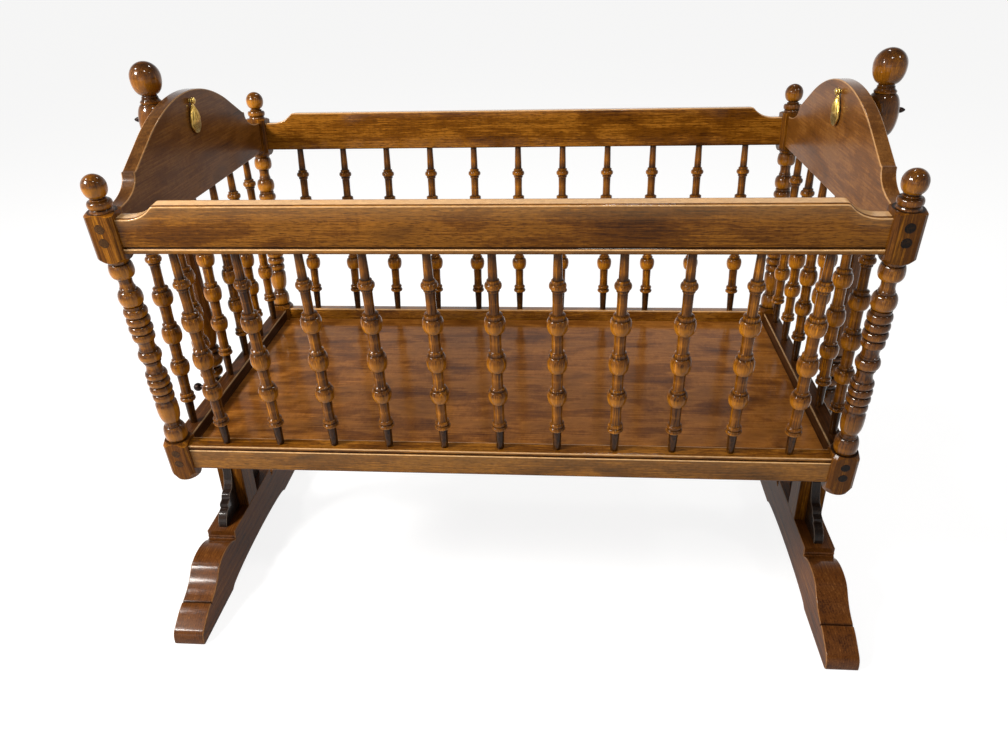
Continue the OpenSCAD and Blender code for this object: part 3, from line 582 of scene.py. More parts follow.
M_DARK = wood("shadow_walnut", (14, 9, 7), (30, 20, 15), (56, 40, 30), coat=1.0, curl=0.04, painted_light_colour=(150, 132, 116))
M_PLUG = wood("plug_wood_dark", (42, 25, 10), (70, 44, 17), (98, 66, 30), ring=2.0, coat=0.4, stain_and_shade=(12, 8, 7))
M_HIDDEN = wood("hidden_walnut", (62, 34, 12), (108, 66, 28), (150, 100, 50), turned=(0, math.radians(90), 0))
M_BRASS = metal("aged_brass", (186, 146, 66), (240, 206, 118), 0.3, 160, dirt=(40, 26, 8))
M_BRASS_CAD = metal("bush_brass", (140, 106, 50), (196, 160, 86), 0.34, 200)
M_STEEL = metal("bolt_steel", (96, 94, 90), (150, 148, 144), 0.36, 240)
M_IRON = metal("pin_iron", (30, 24, 22), (58, 46, 42), 0.34, 240)


# ---- corner posts ----

def post_rows():
    """Rows of a corner post along its own axis, their tones, the columns, and the gloss of each row."""
    a = PW
    reach = math.hypot(a, a - CHAMFER) - a
    cols, rp = square_section(a, CHAMFER, 0.7)

    def shoulder(w, dip, sgn, cut, out):
        """Row where the turning cuts into the block: it dips by dip at the block's corners."""
        return (lambda t: rp(t) - cut, lambda t: w + sgn * ((rp(t) - a) / reach * dip + out))

    z, k, r, neck = LOW_TOP, TURN_K, 15.6, 12.3
    turn = ([(13.8, z), (14.4, z + 0.4 * k)]
            + bulb(z + 0.5 * k, z + 11 * k, z + 25 * k, 14.4, r + 0.6, 11.8)
            + [(11.8, z + 27 * k), (10.9, z + 28 * k), (10.9, z + 32 * k)]
            + curve((10.9, z + 32.2 * k), (14.2, z + 38 * k), (r - 0.3, z + 46 * k), (r - 0.5, z + 56 * k), 9)
            + [(r - 0.5, z + 60 * k), (r - 0.9, z + 65 * k), (neck, z + 69 * k)]
            + bead(z + 70 * k, z + 82 * k, neck, r - 0.7)
            + bead(z + 83 * k, z + 95 * k, neck, r)
            + bead(z + 96 * k, z + 107 * k, neck, r)
            + bead(z + 108 * k, z + 118.5 * k, neck, r - 0.6)
            + hollow(z + 119 * k, z + 134 * k, 12.4, 10.4, 11.6)
            + [(12.3, z + 134.5 * k), (12.3, z + 136.5 * k), (11.6, z + 137 * k)]
            + bead(z + 137.5 * k, z + 153 * k, 11.6, r, 14)
            + [(11.9, z + 153.5 * k), (11.9, z + 156 * k)]
            + hollow(z + 156.5 * k, z + 169 * k, 11.2, 10.7, 12)
            + bead(z + 169.5 * k, z + 181 * k, neck, r - 0.7)
            + bead(z + 182 * k, z + 193.5 * k, neck, r + 0.3)
            + bead(z + 194.5 * k, z + 206 * k, neck, r)
            + bead(z + 207 * k, z + 219 * k, neck, r)
            + [(12.8, z + 219.5 * k), (12.8, z + 223 * k)]
            + bead(z + 223.5 * k, z + 246 * k, 10.4, r, 14)
            + [(10.2, z + 246.5 * k), (10.2, z + 249.5 * k)]
            + hollow(z + 250 * k, z + 263.5 * k, 9.6, 8.6, 9.6)
            + bulb(z + 264 * k, z + 273.5 * k, z + 285 * k, 10.4, r, 12.6)
            + [(12.9, z + 286 * k), (14.2, TURN_1 - 1.5), (14.2, TURN_1 - 1.0)])
    h = HIGH_TOP
    top = ([(14.2, h + 0.05), (13.9, h + 1.4), (13.0, h + 3.0), (12.6, h + 3.5)]
           + bead(h + 3.6, h + 13.0, 12.8, 15.2, 12)
           + [(11.0, h + 13.3), (10.2, h + 13.6)]
           + bead(h + 13.8, h + 15.6, 9.4, 10.4, 6)
           + [(8.6, h + 15.9), (8.0, h + 16.3), (8.0, h + 16.8)]
           + curve((8.4, h + 17.1), (12.0, h + 18.2), (15.0, h + 22.8), (15.0, h + 30.7), 12)
           + ball(15.0, h + 30.7, 0, 14)[1:])
    low = LOW_BOTTOM
    # Block tones: painted shade on the blocks' bottom and top faces, painted highlights along the shoulders where the
    # turning cuts into the blocks.
    rows = [(0, low - 2), (a * 0.6, low - 1.6), (a - 0.4, low - 0.1), (a + 0.2, low + 0.4)]
    tones = [0.2, 0.1, 0.0, 0.0]
    rows += [shoulder(low, 10.1, 1, 0.05, 0.2), shoulder(low, 10.1, 1, 0.0, 0.9), shoulder(z, 5.7, -1, 0.0, 0.9),
             shoulder(z, 5.7, -1, 0.05, 0.2), (a + 0.1, z - 0.2), (a - 0.5, z), (15.2, z)]
    tones += [-0.12, 0.0, 0.0, -0.14, 0.25, 0.75, 0.9]
    rows += turn
    tones += turned_tone(turn)
    rows += [(a - 0.5, TURN_1 - 0.1), (a + 0.1, TURN_1 + 0.3), shoulder(TURN_1, 5, 1, 0.05, 0.2),
             shoulder(TURN_1, 5, 1, 0.0, 0.9), shoulder(h, 2.4, -1, 0.0, 0.9), shoulder(h, 2.4, -1, 0.05, 0.2),
             (a + 0.1, h - 0.3), (a - 0.5, h), (15.6, h)]
    tones += [0.5, -0.1, -0.14, 0.0, 0.0, -0.14, 0.25, 0.8, 0.95]
    rows += top
    tones += turned_tone(top)
    rows[-1] = (0, rows[-1][1])
    shine = [0.3] * 11 + [1.0] * len(turn) + [0.3] * 9 + [1.0] * len(top)
    return rows, tones, cols, shine


def spread(values, rows, cols):
    """A value of each row, for each point that lathe() makes of it."""
    out = []
    for v, (r, _) in zip(values, rows):
        out += [v] * (1 if not callable(r) and abs(r) < 1e-6 else len(cols))
    return out


rows, tones, cols, shine = post_rows()
shine = spread(shine, rows, cols)
for sx, xn in ENDS:
    block, turned = (0.36, 0.1) if sx > 0 else (0.0, -0.1)      # painted shade: the right posts darker, most on their blocks; painted light on the left turnings
    for sy, yn in SIDES:
        pc = Piece(11 + sx + 3 * sy)
        v, f, t = lathe(rows, cols, tones)
        t = [q + (block if g < 1 else turned) for q, g in zip(t, shine)]
        pc.add(v, f, end(sx) @ side(sy) @ shift(PX, 0, 0), t, None, shine)
        pc.make("corner_post_%s_%s" % (yn, xn), M_POST, "cradle", ["post_%s_%s" % (yn, xn)], "post_wood")


# ---- spindles ----

def spindle_rows(length, lift=0.0):
    """Rows of a spindle between two rails and their tones; lift raises the turning on it."""
    k, r, n = length / 307.6, 14.1, 6.2
    m = n + 1.5
    pts = ([(4.5, 0.0), (n - 1.2, 0), (n - 0.9, 0.3), (n - 0.4, 12 * k), (n + 0.3, 33.6 * k), (8.3, 34.2 * k)]
           + bead(34.5 * k, 41.2 * k, 8.6, 11.4, 9)
           + bead(41.6 * k, 47.6 * k, 8.4, 10.4, 9)
           + [(m + 0.1, 48.2 * k), (m, 49 * k), (m - 0.4, 62 * k), (m, 78.6 * k), (m + 0.3, 79.6 * k)]
           + bulb(80 * k, 93.5 * k, 101.5 * k, 8.2, r - 0.5, 10)
           + [(9.5, 101.9 * k), (9.8, 102.3 * k), (9.8, 105.0 * k), (9.4, 105.5 * k), (m + 0.4, 106.4 * k),
              (m, 107.4 * k), (m - 0.1, 119 * k), (m + 0.2, 131.2 * k), (m + 0.5, 132.1 * k)]
           + bulb(132.5 * k, 146 * k, 157.5 * k, 8.4, r - 0.2, 10.2)
           + [(9.7, 157.9 * k), (10, 158.3 * k), (10, 162.9 * k), (9.6, 163.4 * k), (m + 0.4, 164.6 * k),
              (m + 0.1, 165.6 * k), (m, 178 * k), (m + 0.4, 191.2 * k), (m + 0.7, 192.1 * k)]
           + bulb(192.5 * k, 205 * k, 213.8 * k, 8.8, r, 11)
           + [(10.3, 214.2 * k), (10.6, 214.6 * k), (10.6, 218.9 * k), (10.2, 219.4 * k), (n + 0.9, 221 * k),
              (n + 0.6, 222.4 * k), (n + 0.4, 237 * k), (n + 0.7, 252 * k), (8.0, 253.2 * k), (8.3, 253.7 * k),
              (8.3, 256.3 * k), (8.1, 256.6 * k)]
           + bead(256.8 * k, 265 * k, 8.6, 11.2, 10)
           + [(8.3, 265.4 * k), (8.3, 268.2 * k), (8.0, 268.6 * k), (n, 269.6 * k), (n - 0.2, 283 * k),
              (n - 0.7, 300 * k), (n - 0.7, length - 0.1), (4.5, length - 0.1)])
    pts = [(a, w + lift * k if 0.09 * length < w < 0.99 * length else w) for a, w in pts]
    tone = turned_tone(pts)
    # the lower end of each spindle is darkened nearly to black, the upper end less
    for i, (_, w) in enumerate(pts):
        if w < 34 * k:
            tone[i] = max(tone[i], 0.86)
        if w > 292 * k:
            tone[i] = max(tone[i], 0.6)
    return [(0, pts[0][1])] + pts + [(0, pts[-1][1])], [tone[0]] + tone + [tone[-1]]


rows, tones = spindle_rows(SPAN)
v, f, t = lathe(rows, even(28), tones)
for s, nm in SIDES:
    pc = Piece(41 + s)
    for i in range(SIDE_SPINDLES):
        pc.add(v, f, side(s) @ shift((i - (SIDE_SPINDLES - 1) / 2) * SIDE_PITCH, 0, 0), t)
    pc.make("turned_spindles_%s" % nm, M_SPINDLE, "cradle", ["spindles_%s" % nm], "spindle_wood")
rows, tones = spindle_rows(PANEL_Z - RAIL_Z, 4.5)
v, f, t = lathe(rows, even(28), tones)
for s, nm in ENDS:
    pc = Piece(51 + s)
    for i in range(END_SPINDLES):
        pc.add(v, f, end(s) @ shift(PX, (i - (END_SPINDLES - 1) / 2) * END_PITCH, RAIL_Z), t)
    pc.make("turned_spindles_%s" % nm, M_SPINDLE, "cradle", ["spindles_%s" % nm], "spindle_wood")


# ---- rails ----

def arc(cy, cz, r, a0, a1, n=4):
    return [(cy + r * cosd(a0 + (a1 - a0) * i / n), cz + r * sind(a0 + (a1 - a0) * i / n)) for i in range(n + 1)]


def rail_section(h, groove_z, top=-0.5, r=2.6):
    """Loop of a side rail of height h from its lower outer corner round, with a groove in its outer face.

    Returns the loop, its tones (top is the tone of the upper face) and its gloss.
    """
    t, g, lip = RAIL_T / 2, 1.5, 0.9
    low, high = groove_z - g - lip, groove_z + g + lip
    # Tones of painted light and shade: bright lines on the upper edges with a dark line above the outer one, a bright
    # lower lip and a dark groove, shade towards the lower edges; the upper face takes the tone top.
    out = arc(-t + r, r, r, 270, 180)
    tone = [0.3, 0.2, 0.1, 0.0, -0.05]
    out += [(-t, low - 1.1), (-t, low), (-t + 0.25, low + lip - 0.2), (-t + 0.9, low + lip + 0.6), (-t + 1.9, groove_z),
            (-t + 0.9, high - lip - 0.6), (-t + 0.25, high - lip + 0.2), (-t, high)]
    tone += [-0.1, -0.85, -0.6, 0.8, 1.0, 0.9, 0.4, 0.15]
    out += arc(-t + r, h - r, r, 180, 90)
    tone += [-0.1, -0.6, -0.3, 0.4, 0.5]
    out += [(-t + r + 1.0, h), (-t + r + 2.6, h), (t - r - 1.8, h)]
    tone += [0.2, top, top]
    out += arc(t - r, h - r, r, 90, 0) + arc(t - r, r, r, 0, -90)
    tone += [-0.1, -0.4, -0.5, -0.2, 0.0, 0.0, 0.05, 0.1, 0.2, 0.3]
    shine = [1.0 if q[1] > h - r - 0.01 else 0.4 for q in out]
    return out, tone, shine


def side_rail(name, nodename, s, z0, heights, groove, top):
    secs, shine = [], []
    for x, h in heights:
        loop, tone, q = rail_section(h, groove, top)
        secs.append([(x, y, z0 + z) for y, z in loop])
        shine += q
    v, f, t = sweep(secs, tone)
    pc = Piece(61 + s + int(z0))
    pc.add(v, f, side(s), t, GRAIN_X, shine)
    pc.make(name, M_RAIL, "cradle", [nodename], "rail_wood")


def top_heights():
    """Height of a top rail along X, scooped down at both ends."""
    low, d, flat, run = TOP_RAIL_H - SCOOP, SCOOP, 13.0, 42.0
    x0 = -INNER_X + flat
    out = [(-INNER_X, low), (-INNER_X + flat / 2, low)]
    bend = (x0 + run * 0.83, low + d * 0.86)
    out += curve((x0, low), (x0 + run * 0.36, low), (x0 + run * 0.65, low + d * 0.36), bend, 12)
    out += curve(bend, (x0 + run * 0.86, low + d * 0.945), (x0 + run * 0.9, low + d), (x0 + run, low + d), 8)[1:]
    x1, n = out[-1][0], len(out)
    out += [(x1 - 2 * x1 * i / 20, low + d) for i in range(1, 20)]
    return out + [(-x, h) for x, h in reversed(out[:n])]


# The upper face of the top rails is lightened as a painted reflection, the front one more; that of the bottom rails is
# darkened a little as painted shade.
for s, nm in SIDES:
    side_rail("scooped_rail_%s" % nm, "top_rail_%s" % nm, s, SPAN, top_heights(), GROOVE_Z, -0.5 if s < 0 else -0.2)
    side_rail("lower_rail_%s" % nm, "bottom_rail_%s" % nm, s, -LOW_RAIL_H,
              [(-INNER_X + 2 * INNER_X * i / 30, LOW_RAIL_H) for i in range(31)], LOW_RAIL_H - LOW_GROOVE_DROP, 0.12)

for s, nm in ENDS:
    z0, z1, r, t = RAIL_Z - END_RAIL_H, RAIL_Z, 2.4, END_RAIL_T / 2
    loop = (arc(-t + r, z0 + r, r, 270, 180) + arc(-t + r, z1 - r, r, 180, 90)
            + arc(t - r, z1 - r, r, 90, 0) + arc(t - r, z0 + r, r, 0, -90))
    # Painted highlights on the upper edges, painted shade on the lower ones.
    tone = [0.1] * 5 + [0, -0.2, -0.3, -0.2, 0] * 2 + [0.1] * 5
    secs = [[(PX + x, u * lean_y(z, -PW), z) for x, z in loop] for u in [-1 + i / 12 for i in range(25)]]
    v, f, t = sweep(secs, tone)
    pc = Piece(71 + s)
    pc.add(v, [g[::-1] for g in f], end(s), t, GRAIN_Y)
    pc.make("end_bar_%s" % nm, M_END, "cradle", ["end_rail_%s" % nm], "dark_wood")


# ---- end panels ----

def panel_outline():
    """Outline of an end panel in (y, z): shoulders by the posts, a cove, and the scrolled crown."""
    z, a, top = PANEL_Z, 200.0, PANEL_TOP
    c, l = z + 50, z + 80.5
    yc = lean_y(c, -PW)
    half = [(lean_y(z, -PW), z), (lean_y(z + 25, -PW), z + 25), (yc, c)]
    half += [(yc - (yc - a) * sind(7.5 * i), l - 2 - (l - 2 - c) * cosd(7.5 * i)) for i in range(1, 13)]
    half += [(a, l), (a - 5, l + 0.5)]
    half += curve((a - 5, l + 0.5), (a * 0.9, l + 9), (a * 0.82, top - 50), (a * 0.725, top - 39.2), 14)[1:]
    half += curve((a * 0.725, top - 39.2), (a * 0.6, top - 24.5), (a * 0.33, top), (0, top), 20)[1:]
    low = [(-lean_y(z, -PW) + 2 * lean_y(z, -PW) * i / 16, z) for i in range(1, 16)]
    return half + mirrored(half)[1:] + low


PANEL = panel_outline()
for s, nm in ENDS:
    # The rounded edges lightened as painted highlights; the rim darkened as painted shade, the left more than the
    # right.
    v, f, t = slab(PANEL, PANEL_T, 1.9, painted_light=0.3, rim=0.7 if s < 0 else 0.4)
    pc = Piece(81 + s)
    pc.add(v, f, end(s) @ shift(PX, 0, 0), t, GRAIN_Y, rim_gloss(PANEL, 0.22))
    pc.make("scroll_panel_%s" % nm, M_PANEL, "cradle", ["end_panel_%s" % nm], "panel_wood")


# ---- platform ----

def platform_loop():
    """Outline of the board in (x, y), notched round the posts, and its lower and upper height."""
    z1 = RAIL_Z - DECK_DROP
    z0 = z1 - DECK_T
    hx, nx = PX - END_RAIL_T / 2 - DECK_GAP, INNER_X - DECK_GAP
    hy, ny = lean_y(z0, -RAIL_T / 2) - DECK_GAP, lean_y(z0, -PW) - DECK_GAP
    q = [(hx, ny), (nx, ny), (nx, hy)]
    pts = q + [(-x, y) for x, y in reversed(q)] + [(-x, -y) for x, y in q] + [(x, -y) for x, y in reversed(q)]
    return pts, z0, z1


pts, z0, z1 = platform_loop()
v, f, t = slab([(y, x) for x, y in pts], z1 - z0, 1.2, 3)
lay_flat = Matrix(((0, 0, 1, 0), (0, 1, 0, 0), (1, 0, 0, (z0 + z1) / 2), (0, 0, 0, 1)))
pc = Piece(91)
# Only the painted highlights on the rounded edges are kept, weaker.
pc.add(v, f, lay_flat, [min(x, 0.0) * 0.3 for x in t])
pc.make("mattress_board", M_BOARD, "cradle", ["platform"], "board_wood")


# ---- stand ----

def stand_rows():
    """As post_rows(), for a stand post: z, q and p are the heights of block top, lock pin and pivot."""
    z, q, p = BLOCK_TOP, LOCK_Z, PIVOT_Z
    k, f = (p - q) / 462.5, (q - z) / 88
    b = STAND_HALF
    cols, rp = square_section(b, 1.2, 0.5, 7)
    turn = ([(b - 1.5, z + 0.2), (b - 1.5, z + 1)]
            + hollow(z + 1.5, z + 12 * f, 21, 13, 13)
            + bead(z + 13 * f, z + 22 * f, 12, 17, 9)
            + [(11.5, z + 23 * f), (10.5, z + 30 * f)]
            + bead(z + 34 * f, z + 64 * f, 10.6, 15, 12)
            + [(11.5, z + 65 * f)]
            + bulb(q - 21, q, q + 18, 11.5, 19, 10.5, 9)
            + [(10.3, q + 22 * k)]
            + bead(q + 26 * k, q + 42.5 * k, 12.5, 18.2, 12)
            + [(13, q + 43 * k), (13, q + 45 * k)]
            + bead(q + 45.5 * k, q + 71 * k, 14.5, 22.8, 16)
            + [(15.5, q + 71.5 * k), (15.5, q + 73 * k)]
            + bead(q + 73.5 * k, q + 81 * k, 15.8, 19.6, 9)
            + curve((15.8, q + 82 * k), (20.5, q + 92 * k), (23.5, q + 120 * k), (20.4, q + 146 * k), 12)
            + curve((20.4, q + 146 * k), (17.6, q + 172 * k), (15.2, q + 240 * k), (12.2, q + 396 * k), 20)[1:]
            + [(13.4, q + 397 * k), (13.4, q + 400 * k)]
            + bead(q + 400.5 * k, q + 410 * k, 12.6, 16, 9)
            + hollow(q + 411 * k, p - 35, 13, 10.6, 12)
            + bulb(p - 34, p - 3, p + 24, 11.5, 23, 12.4, 14)
            + [(15.0, p + 24.2), (15.3, p + 24.8), (15.3, p + 26.4), (14.8, p + 27.0), (12.4, p + 29.6),
               (12.4, p + 30.6), (11.4, p + 31.2)]
            + bead(p + 31.4, p + 33.2, 11.2, 12.2, 5) + [(11.0, p + 33.6), (10.9, p + 34.6)]
            + curve((11.4, p + 35.4), (16.6, p + 37.0), (22.3, p + 45.5), (22.3, p + 59), 16)
            + [(22.3, p + 60)] + ball(22.3, p + 60, 0, 18)[1:])
    rows = [(0, FOOT_H + 0.1), (lambda t: rp(t) - 0.6, FOOT_H + 0.1), (rp, FOOT_H + 0.6), (rp, z - 1.0),
            (lambda t: rp(t) - 0.25, z - 0.25), (lambda t: rp(t) - 1.0, z)]
    # Painted shade at the foot of the base block, a painted highlight on its top edge.
    tones = [0.3, 0.3, 0.2, 0.0, -0.3, -0.1]
    rows += turn
    tones += turned_tone(turn)
    rows[-1] = (0, rows[-1][1])
    return rows, tones, cols, [0.05] * 6 + [1.0] * len(turn)


rows, tones, cols, shine = stand_rows()
v, f, t = lathe(rows, cols, tones)
for s, nm in ENDS:
    pc = Piece(101 + s)
    pc.add(v, f, end(s) @ shift(STAND_X, 0, 0), [q + 0.12 for q in t], None, spread(shine, rows, cols))
    pc.make("stand_column_%s" % nm, M_POST, "stand", ["stand_post_%s" % nm], "post_wood")


def foot_outline():
    """Outline of a foot in (y, z): stepped pad, hump, score line, toe, and the arch below."""
    p, h, l = 98.0, FOOT_H, FOOT_HALF
    k = (l - p) / 181
    half = [(p - 0.6, h), (p, h - 0.7), (p, h - 10), (p + 1.6, h - 12), (p + 1.6, h - 13.8), (p + 0.4, h - 15.6),
            (p + 2, h - 16.6)]
    half += curve((p + 6 * k, h - 16), (p + 20 * k, h - 5), (p + 52 * k, h - 1), (p + 74 * k, h - 12), 14)
    half += curve((p + 74 * k, h - 12), (p + 88 * k, h - 21), (p + 92 * k, h - 35), (p + 125.5 * k, h - 46), 14)[1:]
    half += [(p + 128.1 * k, h - 47.3), (p + 129 * k, h - 50), (p + 130.5 * k, h - 47.7)]
    half += curve((p + 132.5 * k, h - 47), (p + 148 * k, h - 51.5), (p + 160 * k, h - 60), (p + 172 * k, h - 67), 8)
    half += curve((p + 172 * k, h - 67), (l, h - 73), (l, h - 82), (l, 2.8), 10)[1:]
    under = [(l - 2.8, 0.0)] + [(150 * cosd(a), 14 * sind(a)) for a in (0, 20, 30, 40, 50, 60, 70, 80, 90)]
    right = half + under
    return right + mirrored(right)[1:-1]


def distinct(pts):
    """The points without those that repeat the one before."""
    out = []
    for p in pts:
        if not out or math.hypot(p[0] - out[-1][0], p[1] - out[-1][1]) > 0.05:
            out.append(p)
    return out


FOOT = distinct(foot_outline())
SCORE_Y = 228.4
# The rounded edges lightened as painted highlights, the outline surface darkened, and the score line painted dark as
# the shade in its groove.
v, f, t = slab(FOOT, FOOT_T, 2.2, painted_light=0.25, rim=0.3)
t = [0.9 if abs(abs(p[1]) - SCORE_Y) < 1.3 and p[2] > 40 else x for p, x in zip(v, t)]
for s, nm in ENDS:
    pc = Piece(111 + s)
    pc.add(v, f, end(s) @ shift(FOOT_X, 0, 0), t, GRAIN_Y, rim_gloss(FOOT, 0.0))
    pc.make("rocker_foot_%s" % nm, M_FOOT, "stand", ["foot_%s" % nm], "dark_wood")


def bracket_outline():
    """Outline of a scroll bracket in (y, z), out from the base block and up from the pad."""
    b, z = STAND_HALF, FOOT_H
    pts = [(b, z), (b + 64, z)]
    pts += curve((b + 64, z), (b + 63, z + 12), (b + 55, z + 22), (b + 48, z + 25.5), 10)[1:]
    pts += [(b + 42.5, z + 27), (b + 43.4, z + 31), (b + 42, z + 35.5), (b + 32, z + 38.5)]
    pts += curve((b + 32, z + 38.5), (b + 30.5, z + 44), (b + 27, z + 48), (b + 23, z + 49), 6)[1:]
    pts += [(b + 15.5, z + 50)]
    pts += curve((b + 15.5, z + 50), (b + 9, z + 58), (b + 4.5, z + 68), (b + 3.4, z + 86), 10)[1:]
    pts += [(b, z + 87)]
    return pts


# The rounded edges lightened as painted highlights.
v, f, t = slab(distinct(bracket_outline()), BRACKET_T, 1.0, 3)
for s, nm in ENDS:
    pc = Piece(121 + s)
    m = end(s) @ shift(FOOT_X, 0, 0)
    for place in (m @ Matrix.Scale(-1, 4, (0, 1, 0)), m):
        pc.add(v, f, place, t, Matrix.Identity(4))
    pc.make("scroll_brackets_%s" % nm, M_DARK, "stand", ["brackets_%s" % nm], "dark_wood")


# ---- plugs ----

PLUGS = (-29.4, -10.8, TURN_1 + 28.3, TURN_1 + 46.7)    # places along a corner post
PLUG_L = 6.0    # depth of a plug in its block
pc = Piece(131)
rows = [(0, -6.3), (3.0, -6.3), (5.6, -6.28), (6.15, -6.2), (6.3, -6.0), (6.3, -2.0), (6.2, 0.0), (0, 0.0)]
v, f, t = lathe(rows, even(32), [0.5, 0.5, 0.5, 0.9, 1.0, 0.5, 0.5, 0.5])
for sx in (-1, 1):
    shade = [0.35 * q if sx < 0 else q + 0.45 for q in t]       # painted shade: the right plugs nearly black, the left ones lighter
    for sy in (-1, 1):
        for w in PLUGS:
            m = end(sx) @ side(sy) @ shift(PX, PLUG_L - PW, w) @ Matrix.Rotation(math.radians(-90), 4, "X")
            pc.add(v, f, m, shade)
pc.make("round_plugs", M_PLUG, "cradle", ["post_plugs"], "plug_wood")


# ---- brass drops ----

def step(v, lo, hi):
    return min(1.0, max(0.0, (v - lo) / (hi - lo)))


def drop_outline():
    """Half width and height of a drop, from its neck down to its tip."""
    half = curve((2.4, -4.0), (3.6, -8.0), (10.0, -12.0), (14.0, -22.0), 22)
    half += curve((14.0, -22.0), (17.6, -31.0), (15.5, -39.0), (8.0, -43.6), 16)[1:]
    half += curve((8.0, -43.6), (5.6, -45.2), (3.0, -46.0), (0.5, -46.0), 6)[1:]
    return half


def drop_plate():
    """Crowned leaf of cast brass: fan ribs from the neck, a dotted field below, a raised rim. Z is outward."""
    rows, m = drop_outline(), 36
    front, back, tone, faces = [], [], [], []
    for hw, z in rows:
        body = min(1.0, hw / 13.0) ** 0.7
        for j in range(m + 1):
            u = -math.cos(math.pi * j / m)
            y = u * hw
            rim = math.exp(-((1 - abs(u)) * hw) ** 2)
            fan = math.cos(26.0 * math.atan2(y, 1.0 - z)) * step(-z, 6, 12) * (1 - step(-z, 27, 30)) * (1 - rim)
            band = math.exp(-((-z - 29.5 + 0.02 * y ** 2) / 0.9) ** 2)
            dots = math.cos(1.8 * y) * math.cos(1.8 * z) * step(-z, 31, 32) * (1 - rim)
            h = 1.1 + 3.0 * body * math.sqrt(max(0.0, 1 - u * u)) ** 0.9
            h += 0.55 * rim + 0.8 * fan + 0.5 * band + 0.4 * dots
            front.append((y, z, min(h, 4.9)))
            back.append((y, z, 0.0))
            # Darker in the rib valleys and over the lower part below the band, most in the hollows of the dots.
            t = 0.95 * max(0.0, -fan) + 0.85 * step(-z, 28, 33) * (0.45 + 0.55 * (dots < 0)) * (1 - rim)
            tone.append(max(0.0, t + 0.04 - 0.6 * band))
    n = len(rows)
    k = n * (m + 1)
    for i in range(n - 1):
        for j in range(m):
            a, b = i * (m + 1) + j, (i + 1) * (m + 1) + j
            faces.append((a, b, b + 1, a + 1))
            faces.append((k + a, k + a + 1, k + b + 1, k + b))
        for a, b in ((i * (m + 1), (i + 1) * (m + 1)), ((i + 1) * (m + 1) + m, i * (m + 1) + m)):
            faces.append((a, k + a, k + b, b))
    for j in range(m):
        a, b = j, (n - 1) * (m + 1) + j
        faces.append((a, a + 1, k + a + 1, k + a))
        faces.append((b + 1, b, k + b, k + b + 1))
    return front + back, faces, tone + [0.5] * k


def ring_tube(big, small, n=28, m=10):
    verts = []
    for i in range(n):
        for j in range(m):
            r = big + small * cosd(360 * j / m)
            verts.append((r * cosd(360 * i / n), r * sind(360 * i / n), small * sind(360 * j / m)))
    faces = [(i * m + j, (i + 1) % n * m + j, (i + 1) % n * m + (j + 1) % m, i * m + (j + 1) % m)
             for i in range(n) for j in range(m)]
    return verts, faces, [0.15] * len(verts)


INWARD = Matrix(((0, 0, -1, PX - PANEL_T / 2), (1, 0, 0, 0), (0, 1, 0, DROP_Z), (0, 0, 0, 1)))
KNOB = [(0, -9.0), (2.1, -9.0), (2.1, -0.2), (3.4, 0.0), (3.5, 0.4), (3.1, 1.0), (2.4, 1.3), (2.2, 1.6), (2.2, 4.8),
        (3.4, 4.9), (4.3, 5.5), (4.7, 6.4), (4.4, 7.4), (3.3, 8.2), (1.7, 8.6), (0, 8.7)]
knob = lathe(KNOB, even(48), [0.6] * 9 + [0.5, 0.2, 0.0, 0.0, 0.1, 0.2, 0.2])
plate, ring = drop_plate(), ring_tube(3.6, 1.15)
knobs = {s: Piece(141 + s) for s in (-1, 1)}
for s, nm in ENDS:
    knobs[s].add(knob[0], knob[1], end(s) @ INWARD, knob[2])
    pc = Piece(151 + s)
    pc.add(plate[0], plate[1], end(s) @ INWARD @ shift(0, 0, 2.1), plate[2])
    pc.add(ring[0], ring[1], end(s) @ INWARD @ shift(0, 0, 3.5), ring[2])
    pc.make("brass_leaf_%s" % nm, M_BRASS, "drop_%s" % nm, ["brass_drop_%s" % nm], "brass", sharp=50)
knobs[-1].join(knobs[1])
knobs[-1].make("drop_knobs", M_BRASS, "cradle", ["drop_posts"], "brass", sharp=50)


# ---- pivot pins ----

pc = Piece(161)
tip = [(4, 12.5), (3.6, 12.2), (2.5, 11.6), (2.5, 10.0), (3.0, 9.4), (3.9, 7.6), (3.9, 6.4), (3.3, 4.2), (2.2, 2.0),
       (1.1, 0.6), (0.5, 0.15), (0, 0)]
rows = [(0, 0), (3.4, 0), (4, 0.8)] + [(r, PEG_L - w) for r, w in tip]
v, f, t = lathe(rows, even(28), [0.2] * len(rows))
for s in (-1, 1):
    pc.add(v, f, end(s) @ shift(PX - 2.5, 0, PIVOT_Z) @ ALONG_X, t)
pc.make("pointed_pegs", M_IRON, "stand", ["pivot_pins"], "steel")


# ---- CAD nodes that no piece replaces ----

CAD_MATERIALS = {"pivot_bushes": M_BRASS_CAD, "pivot_spacers": M_BRASS_CAD, "drop_posts": M_BRASS_CAD,
                 "brass_drop_left": M_BRASS_CAD, "brass_drop_right": M_BRASS_CAD, "pivot_pins": M_IRON,
                 "lock_pin_left": M_IRON, "lock_pin_right": M_IRON}
for name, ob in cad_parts.items():
    for slot in ob.material_slots:
        steel = slot.material is not None and "steel" in slot.material.name
        slot.material = CAD_MATERIALS.get(name, M_STEEL if steel else M_HIDDEN)


# ---- camera ----

PHOTO_W = 1008
FOCAL = 804.6           # in pixels of the photo
CAM_AT = (0.09347, -1.20248, 1.03080)
YAW, PITCH, ROLL = -0.0889, 0.5045, -0.0302


